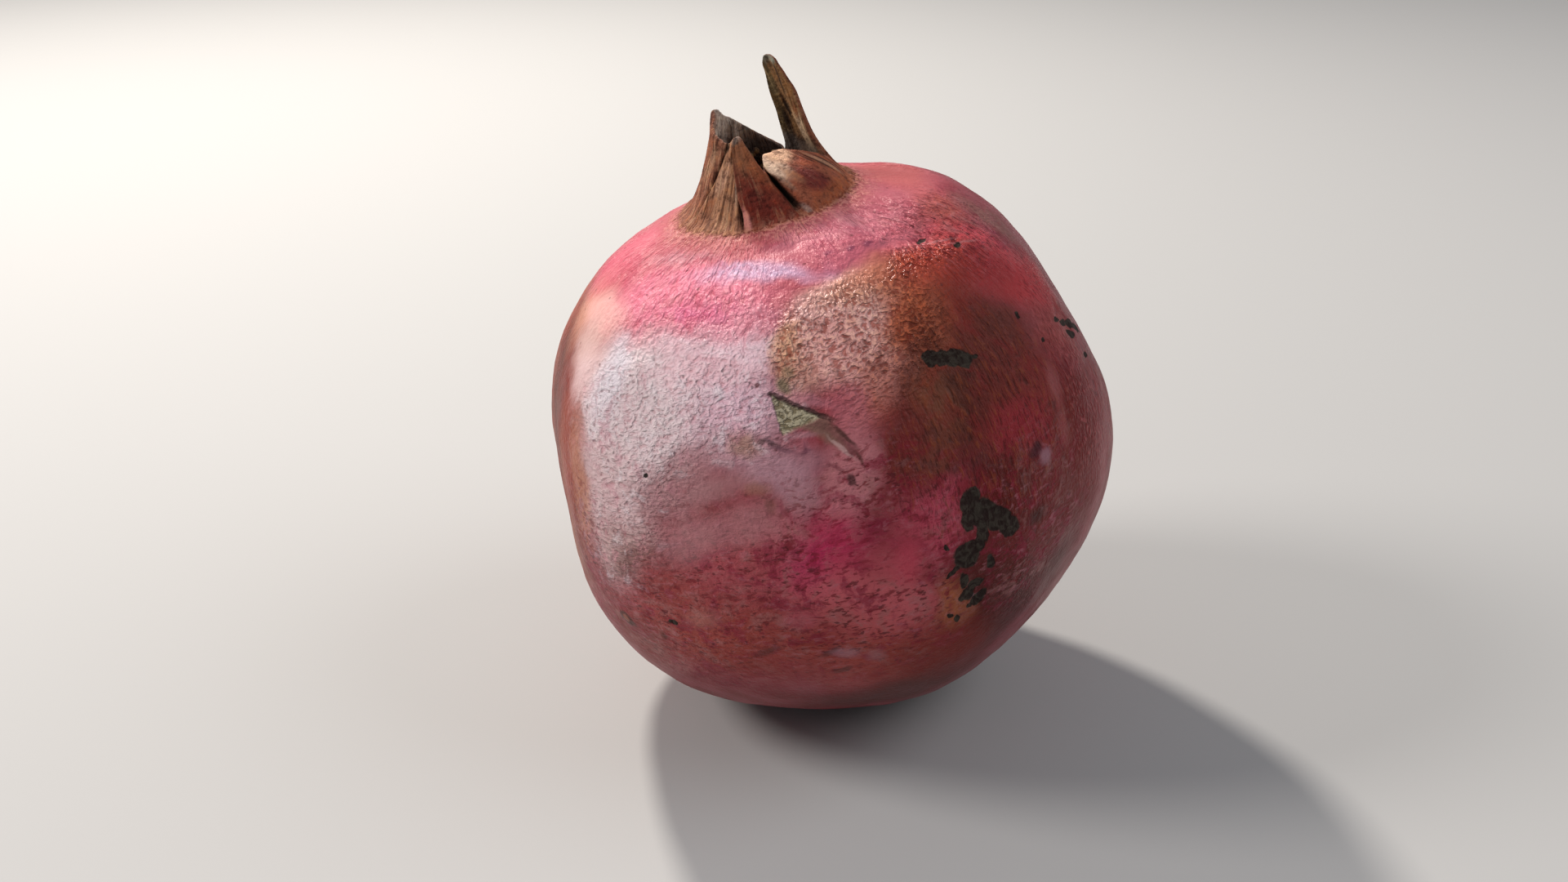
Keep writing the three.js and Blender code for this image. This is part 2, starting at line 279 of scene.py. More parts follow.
# How far the skin is from the fruit's middle, in a direction of the fruit's own frame.
def skinRadius(towards):
    fromCrown = math.degrees(math.acos(clamp(towards.z, -1, 1)))
    fromStem = 180 - fromCrown
    azimuth = math.atan2(towards.x, -towards.y)
    radius = rind["radius"]
    for flat, depth, spread in flatPlaces:
        radius -= depth * bell(degreesBetween(towards, flat), spread)
    radius -= rind["shoulderDip"] * bell(fromCrown, rind["shoulderSpread"])
    radius -= rind["restPress"] * bell(degreesBetween(towards, down), rind["restSpread"])
    ribs = math.cos(rind["lobes"] * (azimuth - math.radians(rind["lobeTurn"])))
    radius += rind["lobeHeight"] * ribs * math.sin(math.radians(fromCrown)) ** 2
    radius -= rind["stemDimple"] * bell(fromStem, rind["stemDimpleSpread"])
    radius += rind["stemScar"] * bell(fromStem, rind["stemScarWidth"])
    return radius


middleHeight = skinRadius(down) - rind["restSunk"]


# From the fruit's own frame to the part's, in metres, with the rest spot pressed flat.
def place(point):
    placed = leanMatrix @ point
    placed.z = max(0.0, placed.z + middleHeight)
    return placed * mm


def crownPoint(radius, azimuth, height):
    point = direction(azimuth, 0) * radius
    point.z = crown["footHeight"] + height
    return point


# The frame of a spot on the skin: its middle, and its own east, north and outward directions, turned
# about the outward one.
def spotAxes(azimuth, elevation, turn):
    out = direction(azimuth, elevation)
    east = direction(azimuth + 90, 0)
    north = out.cross(east)
    cosine = math.cos(math.radians(turn))
    sine = math.sin(math.radians(turn))
    return out * skinRadius(out), east * cosine + north * sine, north * cosine - east * sine, out


# Dry spots: azimuth, elevation, half width, half height, turn, rise. A negative rise sinks them.
drySpots = [
    (0.5, 31.8, 6.0, 4.0, -26, -0.35),      # the scar
    (29.6, 4.4, 3.9, 2.6, -30, -0.22),
    (24.2, -1.5, 1.9, 1.9, 0, -0.2),
    (24.4, -9.4, 1.8, 1.8, 0, -0.18),
    (34.5, 32.0, 3.9, 1.1, -12, -0.2),
    (71.2, 22.9, 2.4, 3.2, 30, -0.25),
    (-33.0, 23.3, 0.7, 0.7, 0, -0.35),
    (59.6, 47.9, 0.8, 0.5, 0, -0.3),
    (52.8, 53.0, 1.0, 0.4, 0, -0.25),
    (-45.3, -7.7, 1.7, 1.7, 0, 0.2),
    (45.7, 7.7, 2.2, 2.0, 0, 0.25),
    (-160, 20, 3.0, 1.2, 30, 0.25),
]
spotPlaces = [
    (*spotAxes(azimuth, elevation, turn), wide, high, rise)
    for azimuth, elevation, wide, high, turn, rise in drySpots
]


# The skin's own unevenness, outwards. Each noise is read at a place of its own, so that no two agree.
def skinRelief(towards, azimuth, fromCrown):
    point = towards * rind["radius"]
    relief = rind["swell"] * noise.noise(point / rind["swellSize"])
    relief += rind["dimple"] * noise.noise(point / rind["dimpleSize"] + Vector((7, 0, 0)))
    relief += rind["grain"] * noise.noise(point / rind["grainSize"] + Vector((0, 5, 0)))
    below, above = rind["ridgeFade"]
    for ridge, height, halfWidth, reach in shoulderRidges:
        turn = turnBetween(ridge, azimuth)
        if abs(turn) < 3 * halfWidth:
            relief += height * bell(turn, halfWidth) * smooth(90 - fromCrown, reach - below, reach + above)
    for middle, east, north, out, wide, high, rise in spotPlaces:
        if towards.dot(out) > rind["spotNear"]:
            offset = point - middle
            off = math.hypot(offset.dot(east) / wide, offset.dot(north) / high)
            fray = rind["spotFray"] * noise.noise(point / rind["spotFraySize"])
            relief += rise * (1 - smooth(off + fray, *rind["spotEdge"]))
    return relief


def skinPoint(fromCrown, azimuth, relieved=True):
    towards = direction(azimuth, 90 - fromCrown)
    radius = skinRadius(towards)
    if relieved:
        radius += skinRelief(towards, azimuth, fromCrown)
    return towards * radius


# The sepal at an azimuth, and where the azimuth lies on it: across is 0 at its peak and 1 at the seam on
# either side, fade is how much of its neighbour's lean it takes, seam is the sepal after the nearer seam,
# and aside the degrees past that seam. The seams slant, and without a height they lie as at the rim.
def columnAt(azimuth, height=math.inf):
    drop = 1 - clamp(height / crown["seamHeight"])
    seams = [sepal["gap"] + turnBetween(sepal["gap"], sepal["foot"]) * drop for sepal in sepals]
    turns = [(azimuth - seam) % 360 for seam in seams]
    i = turns.index(min(turns))
    after = (i + 1) % len(sepals)
    sepal = sepals[i]
    share = turns[i] / ((seams[after] - seams[i]) % 360)
    before = share < sepal["peak"]
    across = 1 - share / sepal["peak"] if before else (share - sepal["peak"]) / (1 - sepal["peak"])
    seam = i if before else after
    notch = sepals[seam]["notch"]
    return {
        "azimuth": azimuth,
        "index": i,
        "sepal": sepal,
        "neighbour": sepals[i - 1] if before else sepals[after],
        "share": share,
        "across": across,
        "fade": 0.5 * across ** 3,
        "rim": notch + (sepal["height"] - notch) * (1 - across ** sepal["point"]) ** sepal["taper"],
        "seam": seam,
        "aside": turnBetween(seams[seam], azimuth),
    }


# How far a sepal leans inwards at a height, and how many degrees it swings round.
def wallLean(sepal, height):
    up = clamp((height - crown["wallFrom"]) / (sepal["height"] - crown["wallFrom"]))
    return (crown["wallRadius"] - sepal["tipRadius"]) * up ** sepal["bend"], sepal["swing"] * up ** 2


# A point of the wall, at a depth inwards from its plain outer face.
def wallPoint(column, height, depth):
    ownInwards, ownRound = wallLean(column["sepal"], height)
    besideInwards, besideRound = wallLean(column["neighbour"], height)
    radius = crown["wallRadius"] - lerp(ownInwards, besideInwards, column["fade"]) - depth
    return crownPoint(radius, column["azimuth"] + lerp(ownRound, besideRound, column["fade"]), height)


def wallThickness(column, height):
    thickness = max(crown["edgeThickness"], crown["footThickness"] - crown["thinning"] * max(0.0, height))
    return thickness * (1 - crown["edgeThinning"] * smooth(height / column["rim"], 0.4, 1.0))


# Where a point lies in the grain of the dry wall: the ridges run up each sepal, whichever way it leans.
def grainAt(column, height):
    along = direction(column["azimuth"], 0) * crown["wallRadius"]
    along.z = height
    return along


# How far a fold along a seam reaches at a height.
def foldShare(low, high, height):
    return smooth(height, low - 0.5, low + 0.5) * smooth(high - height, -0.8, 0.8)


# The dry wall's own unevenness, outwards, at a height.
def wallRelief(column, height):
    here = columnAt(column["azimuth"], height)
    grain = grainAt(column, height * crown["grainStretch"])
    up = clamp(height / column["rim"])
    relief = crown["striation"] * noise.noise(grain / crown["striationWidth"])
    relief += crown["furrow"] * noise.noise(grain / crown["furrowWidth"] + Vector((0, 0, 9)))
    buckle = noise.noise(grainAt(column, height) / crown["crumpleSize"] + Vector((3, 0, 0)))
    relief += crown["crumple"] * up * buckle
    for seam, low, high, halfWidth, depth, dark, lap in folds:
        if seam == here["seam"]:
            reach = foldShare(low, high, height)
            relief -= depth * bell(here["aside"], halfWidth) * reach
            past = here["aside"] if lap > 0 else -here["aside"]
            relief += abs(lap) * smooth(past, -0.8, 0.8) * bell(max(past, 0), crown["lapWidth"]) * reach
    if here["index"] == broadSepal:
        across = bell(here["across"], crown["knuckleAcross"])
        relief += crown["knuckle"] * across * bell(height - crown["knuckleHeight"], crown["knuckleSpread"])
    return relief


def rollDepth(column, height):
    up = smooth(height / column["rim"], roll["from"], roll["full"])
    trough = bell(column["share"] - roll["trough"], roll["troughWidth"])
    fold = bell(column["share"] - roll["fold"], roll["foldWidth"])
    return -roll["depth"] * (trough - roll["foldShare"] * fold) * up


# The rows of one column, from the stem pole up and over the crown to the middle of its floor. Each is a
# point and what the finish reads there: its height above the crown's foot, or how far it lies below it
# down the skin as a negative number, and 1 on the cup's side.
def columnRows(column):
    azimuth = column["azimuth"]
    rows = []
    span = 180 - crown["filletFrom"]
    for i in range(rind["skinRows"] + 1):
        share = (i / rind["skinRows"]) ** rind["rowCrowding"]
        below = (1 - share) * span * math.radians(rind["radius"])
        rows.append((skinPoint(180 - span * share, azimuth), -crown["filletDrop"] - below, 0.0))

    start = rows[-1][0]
    corner = skinPoint(math.degrees(math.asin(crown["filletRadius"] / rind["radius"])), azimuth, False)
    corner.z += crown["filletRise"]
    end = wallPoint(column, crown["wallFrom"], -wallRelief(column, crown["wallFrom"]))
    for i in range(1, crown["filletRows"] + 1):
        share = i / crown["filletRows"]
        point = start * (1 - share) ** 2 + corner * (2 * share * (1 - share)) + end * share ** 2
        rows.append((point, lerp(-crown["filletDrop"], crown["wallFrom"], share), 0.0))

    thickness = wallThickness(column, column["rim"])
    top = column["rim"] - thickness / 2
    for i in range(1, crown["wallRows"] + 1):
        height = lerp(crown["wallFrom"], top, i / crown["wallRows"])
        rows.append((wallPoint(column, height, -wallRelief(column, height)), height, 0.0))
    edge = wallRelief(column, top)
    for i in range(1, crown["rimRows"]):
        angle = math.pi * i / crown["rimRows"]
        depth = thickness / 2 * (1 - math.cos(angle)) - edge
        height = top + thickness / 2 * math.sin(angle)
        rows.append((wallPoint(column, height, depth), height, i / crown["rimRows"]))
    for i in range(crown["innerRows"]):
        height = lerp(top, crown["innerFrom"], i / (crown["innerRows"] - 1))
        depth = wallThickness(column, height) - wallRelief(column, height)
        if column["index"] == tallSepal:
            depth += rollDepth(column, height)
        rows.append((wallPoint(column, height, depth), height, 1.0))

    foot = rows[-1][0]
    footRadius = math.hypot(foot.x, foot.y)
    for i in range(1, crown["floorRows"] + 1):
        share = 1 - i / crown["floorRows"]
        height = crown["floorHeight"] + crown["floorRise"] * share ** 2
        rows.append((crownPoint(footRadius * share, azimuth, height), height, 1.0))
    return rows


def toColour(code):
    parts = [int(code[i:i + 2], 16) / 255 for i in (0, 2, 4)]
    return [part / 12.92 if part <= 0.04045 else ((part + 0.055) / 1.055) ** 2.4 for part in parts]


def mixColour(a, b, share):
    return [lerp(x, y, share) for x, y in zip(a, b)]


# The colour of the crown's wall at an azimuth and height: each face has its own, neighbours run into each
# other, the dabs that lie there are laid over it, and the folds get painted shade.
def sepalColour(here, height, inside):
    face = "inner" if inside > 0.5 else "outer"
    own = toColour(here["sepal"][face])
    beside = toColour(here["neighbour"][face])
    colour = mixColour(own, beside, 0.5 * here["across"] ** 10)
    for sepal, side, share, middleUp, wide, high, strength, code in dabs:
        if sepal == here["index"] and side == round(inside):
            off = math.hypot((here["share"] - share) / wide, (height - middleUp) / high)
            colour = mixColour(colour, toColour(code), strength * (1 - smooth(off, 0.45, 1.05)))
    # painted shade in the folds along the seams
    for seam, low, high, halfWidth, depth, dark, lap in folds:
        if seam == here["seam"]:
            near = 1 - smooth(abs(here["aside"]) / halfWidth, 0.55, 1.1)
            deep = dark * near * foldShare(low, high, height)
            colour = mixColour(colour, toColour(crown["foldShadeColour"]), deep)
    return colour


weld = 0.0005                # vertices closer than this are one, in millimetres


def finishMesh(bm, name, material):
    bmesh.ops.remove_doubles(bm, verts=bm.verts, dist=weld * mm)
    bmesh.ops.recalc_face_normals(bm, faces=bm.faces)
    for face in bm.faces:
        face.smooth = True
    mesh = bpy.data.meshes.new(name)
    bm.to_mesh(mesh)
    bm.free()
    mesh.materials.append(material)
    piece = bpy.data.objects.new(name, mesh)
    bpy.context.scene.collection.objects.link(piece)
    return piece


def makeRind(material):
    azimuths = []
    for i, sepal in enumerate(sepals):
        width = (sepals[(i + 1) % len(sepals)]["gap"] - sepal["gap"]) % 360
        azimuths += [sepal["gap"] + width * c / sepal["columns"] for c in range(sepal["columns"])]
    table = [columnRows(columnAt(azimuth)) for azimuth in azimuths]
    across = len(table)
    upwards = len(table[0]) - 1
    bm = bmesh.new()
    bm.loops.layers.uv.new("OFBake")
    bmesh.ops.create_grid(bm, x_segments=across, y_segments=upwards, size=1, calc_uvs=True)
    layers = bm.verts.layers
    rise = layers.float.new("rise")
    inside = layers.float.new("inside")
    striped = layers.float.new("striped")
    grain = layers.float_vector.new("grain")
    tint = layers.float_color.new("tint")
    for vert in bm.verts:
        c = round((vert.co.x + 1) / 2 * across) % across
        r = round((vert.co.y + 1) / 2 * upwards)
        point, height, face = table[c][r]
        here = columnAt(azimuths[c], height)
        vert.co = place(point)
        vert[rise] = height
        vert[inside] = face
        vert[striped] = here["sepal"]["striped"]
        vert[grain] = grainAt(here, height)
        vert[tint] = (*sepalColour(here, height, face), 1.0)
    return finishMesh(bm, "rind", material)


# The stamens, in rings up the cup's wall, and the style on its floor. The pairs are the ends between
# which each stamen's own share is drawn.
stamens = {
    "count": 66,
    "rings": 3,
    "rootHeight": 0.9,
    "ringRise": 1.0,
    "rootDepth": 0.6,        # share of the wall's thickness
    "stray": 0.6,            # share of the gap between two
    "length": 5.2,
    "lengths": (0.75, 1.1),
    "thickness": 0.26,       # radius at the root
    "tipShare": 0.6,
    "sides": 5,
    "cuts": 3,
    "droop": 1.5,
    "droops": (-0.6, 0.6),
    "leanIn": 70,            # from upright
    "wander": 15,            # degrees
    "tilts": (-0.5, 0.9),
    "turns": (-1.2, 1.2),
    "head": (0.42, 0.546, 0.75),    # half sizes of the swollen head
    "styleRadius": 0.8,
    "styleSpread": 1.3,      # its top's radius as a share
    "styleSides": 10,
    "styleHeight": 3.4,
    "styleSunk": 1.0,
    "seed": 7,
}


# A thin bent filament with a swollen head, grown from the cup's wall.
def addStamen(bm, root, towards, length, droop):
    vertsBefore = len(bm.verts)
    edgesBefore = len(bm.edges)
    bmesh.ops.create_cone(
        bm, cap_ends=True, segments=stamens["sides"], radius1=stamens["thickness"],
        radius2=stamens["thickness"] * stamens["tipShare"], depth=length,
        matrix=Matrix.Translation((0, 0, length / 2)))
    edges = list(bm.edges)[edgesBefore:]
    uprights = [edge for edge in edges if edge.verts[0].co.z != edge.verts[1].co.z]
    bmesh.ops.subdivide_edges(bm, edges=uprights, cuts=stamens["cuts"])
    head = Matrix.Translation((0, 0, length)) @ Matrix.Diagonal((*stamens["head"], 1))
    bmesh.ops.create_icosphere(bm, subdivisions=1, radius=1, matrix=head)
    turned = towards.to_track_quat("Z", "Y").to_matrix()
    for vert in list(bm.verts)[vertsBefore:]:
        sink = droop * (vert.co.z / length) ** 2
        vert.co = turned @ vert.co + root
        vert.co.z -= sink
        vert.co = place(vert.co)


def makeStamens(material):
    draw = random.Random(stamens["seed"])
    bm = bmesh.new()
    for i in range(stamens["count"]):
        azimuth = (i + stamens["stray"] * draw.random()) * 360 / stamens["count"]
        ring = i % stamens["rings"]
        column = columnAt(azimuth)
        height = stamens["rootHeight"] + ring * stamens["ringRise"]
        depth = wallThickness(column, height) * stamens["rootDepth"] - wallRelief(column, height)
        root = wallPoint(column, height, depth)
        elevation = 90 - stamens["leanIn"] + draw.uniform(*stamens["tilts"]) * stamens["wander"]
        heading = azimuth + 180 + draw.uniform(*stamens["turns"]) * stamens["wander"]
        length = stamens["length"] * draw.uniform(*stamens["lengths"])
        droop = stamens["droop"] * draw.uniform(*stamens["droops"])
        addStamen(bm, root, direction(heading, elevation), length, droop)
    styleLength = stamens["styleHeight"] + stamens["styleSunk"]
    styleFoot = crown["footHeight"] + crown["floorHeight"] - stamens["styleSunk"]
    style = bmesh.ops.create_cone(
        bm, cap_ends=True, segments=stamens["styleSides"], radius1=stamens["styleRadius"],
        radius2=stamens["styleRadius"] * stamens["styleSpread"], depth=styleLength,
        matrix=Matrix.Translation((0, 0, styleFoot + styleLength / 2)))
    for vert in style["verts"]:
        vert.co = place(vert.co)
    return finishMesh(bm, "stamens", material)


# One socket of a material. Arithmetic on wires adds Math nodes.
class Wire:
    def __init__(self, finish, socket):
        self.finish = finish
        self.socket = socket

    def math(self, operation, *values):
        return self.finish.node("Math", {"operation": operation}, dict(enumerate(values)))

    def __add__(self, other):
        return self.math("ADD", self, other)

    __radd__ = __add__

    def __sub__(self, other):
        return self.math("SUBTRACT", self, other)

    def __rsub__(self, other):
        return self.math("SUBTRACT", other, self)

    def __mul__(self, other):
        return self.math("MULTIPLY", self, other)

    __rmul__ = __mul__

    def __abs__(self):
        return self.math("ABSOLUTE", self)

    def largest(self, other):
        return self.math("MAXIMUM", self, other)


# One material. Every node comes from its node method, which the others call by what they make.
class Finish:
    def __init__(self, name):
        self.material = bpy.data.materials.new(name)
        self.material.use_nodes = True
        self.tree = self.material.node_tree
        self.shader = self.tree.nodes["Principled BSDF"]

    def plug(self, socket, value):
        if isinstance(value, Wire):
            self.tree.links.new(value.socket, socket)
        else:
            socket.default_value = value

    def node(self, kind, settings, sockets, out=0):
        made = self.tree.nodes.new("ShaderNode" + kind)
        for key, value in settings.items():
            setattr(made, key, value)
        for key, value in sockets.items():
            self.plug(made.inputs[key], value)
        if isinstance(out, tuple):
            return [Wire(self, made.outputs[key]) for key in out]
        return Wire(self, made.outputs[out])

    # The Mix node's first socket is its factor, and 6, 7 and the output 2 are its colours.
    def mix(self, share, a, b, blend="MIX"):
        a, b = [(*toColour(colour), 1) if isinstance(colour, str) else colour for colour in (a, b)]
        return self.node("Mix", {"data_type": "RGBA", "blend_type": blend}, {0: share, 6: a, 7: b}, 2)

    def vector(self, operation, *values, out=0):
        return self.node("VectorMath", {"operation": operation}, dict(enumerate(values)), out)

    def scale(self, a, factor):
        return self.node("VectorMath", {"operation": "SCALE"}, {0: a, "Scale": factor})

    # 0 at low and full at high, smoothly.
    def fade(self, value, low, high, full=1.0):
        return self.node("MapRange", {"interpolation_type": "SMOOTHSTEP"}, {
            "Value": value, "From Min": low, "From Max": high, "To Max": full})

    def noise(self, at, size, detail=2.0, roughness=0.5, out=0):
        return self.node("TexNoise", {}, {
            "Vector": at, "Scale": 1 / (size * mm), "Detail": detail, "Roughness": roughness}, out)

    def cells(self, at, size):
        return self.node("TexVoronoi", {}, {"Vector": at, "Scale": 1 / (size * mm)})

    def attribute(self, name, out="Fac"):
        return self.node("Attribute", {"attribute_name": name}, {}, out)

    # at, moved about by a noise of a size and reach in millimetres.
    def stirred(self, at, size, reach, detail=1.0):
        stir = self.noise(at, size, detail, out="Color")
        parts = self.node("SeparateColor", {}, {"Color": stir}, (0, 1, 2))
        push = {key: (part - 0.5) * (2 * reach * mm) for key, part in enumerate(parts)}
        return self.vector("ADD", at, self.node("CombineXYZ", {}, push))

    # 1 in the middle of an ellipse of the skin, falling to 0 at its edge.
    def ball(self, at, azimuth, elevation, wide, high, turn):
        middle, east, north, out = spotAxes(azimuth, elevation, turn)
        turned = Matrix((east, north, out)).transposed().to_euler("XYZ")
        sizes = Vector((wide, high, rindFinish["patchDepth"])) * mm
        inside = self.node("Mapping", {"vector_type": "TEXTURE"}, {
            "Vector": at, "Location": middle * mm, "Rotation": turned, "Scale": sizes})
        return self.node("TexGradient", {"gradient_type": "SPHERICAL"}, {"Vector": inside}, "Fac")

    # A patch of the skin. Its edge takes the share soft of it.
    def patch(self, at, spot, soft, full=1.0):
        return self.fade(self.ball(at, *spot), 0, soft, full)

    # The union of several.
    def patches(self, at, spots, soft):
        nearest = self.ball(at, *spots[0])
        for spot in spots[1:]:
            nearest = nearest.largest(self.ball(at, *spot))
        return self.fade(nearest, 0, soft)

    # Lays a list of coloured patches over a colour, one after the other.
    def painted(self, paint, at, spots):
        for *spot, soft, strength, colour in spots:
            paint = self.mix(self.patch(at, spot, soft, strength), paint, colour)
        return paint

    # Millimetres along and across a spot of the skin, from its middle.
    def local(self, at, azimuth, elevation, turn):
        middle, east, north, out = spotAxes(azimuth, elevation, turn)
        along = self.vector("DOT_PRODUCT", at, east / mm, out="Value") - middle.dot(east)
        across = self.vector("DOT_PRODUCT", at, north / mm, out="Value") - middle.dot(north)
        return along, across

    # The shader's normals, for a height in millimetres.
    def bump(self, height):
        bumped = self.node("Bump", {}, {"Height": height, "Strength": 1.0, "Distance": mm})
        self.plug(self.shader.inputs["Normal"], bumped)


# The rind's finish.
rindFinish = {
    "ground": "98454e",
    "groundDark": "803034",
    "roughness": 0.40,
    "specular": 0.20,
    "sheen": "ffc8c0",
    "coat": 0.25,            # the bloom's own sheen
    "coatRoughness": 0.34,
    "softSize": 13,          # sizes and reaches of the waves and the fraying of the colours' outlines
    "softReach": 3.6,
    "fraySize": 3.6,
    "frayReach": 1.7,
    "patchDepth": 14,        # how deep a patch of colour goes
    "textureEdge": 0.7,
    "cloudSize": 6,          # dim clouds of the ground colours and of the roughness
    "cloudRoughness": 0.2,
    "russetGloss": 0.05,
    "beadRelief": 0.34,
    "peelRelief": 0.14,
    "grainRelief": 0.04,
    "poreSize": 1.15,        # between one pore and the next, as for the specks
    "poreColour": "74505a",
    "poreShare": 0.60,
    "poreDepth": 0.12,
    "speckSize": 2.6,
    "speckColour": "5a2426",
    "speckShare": 0.5,
    "scabColours": ("201d1a", "38362f"),
    "scabShare": 0.97,
    "scabEdge": 0.2,
    "scabRoughness": 0.35,   # over the skin's own
    "scabDepth": 0.2,
    "scabRelief": 0.3,
}

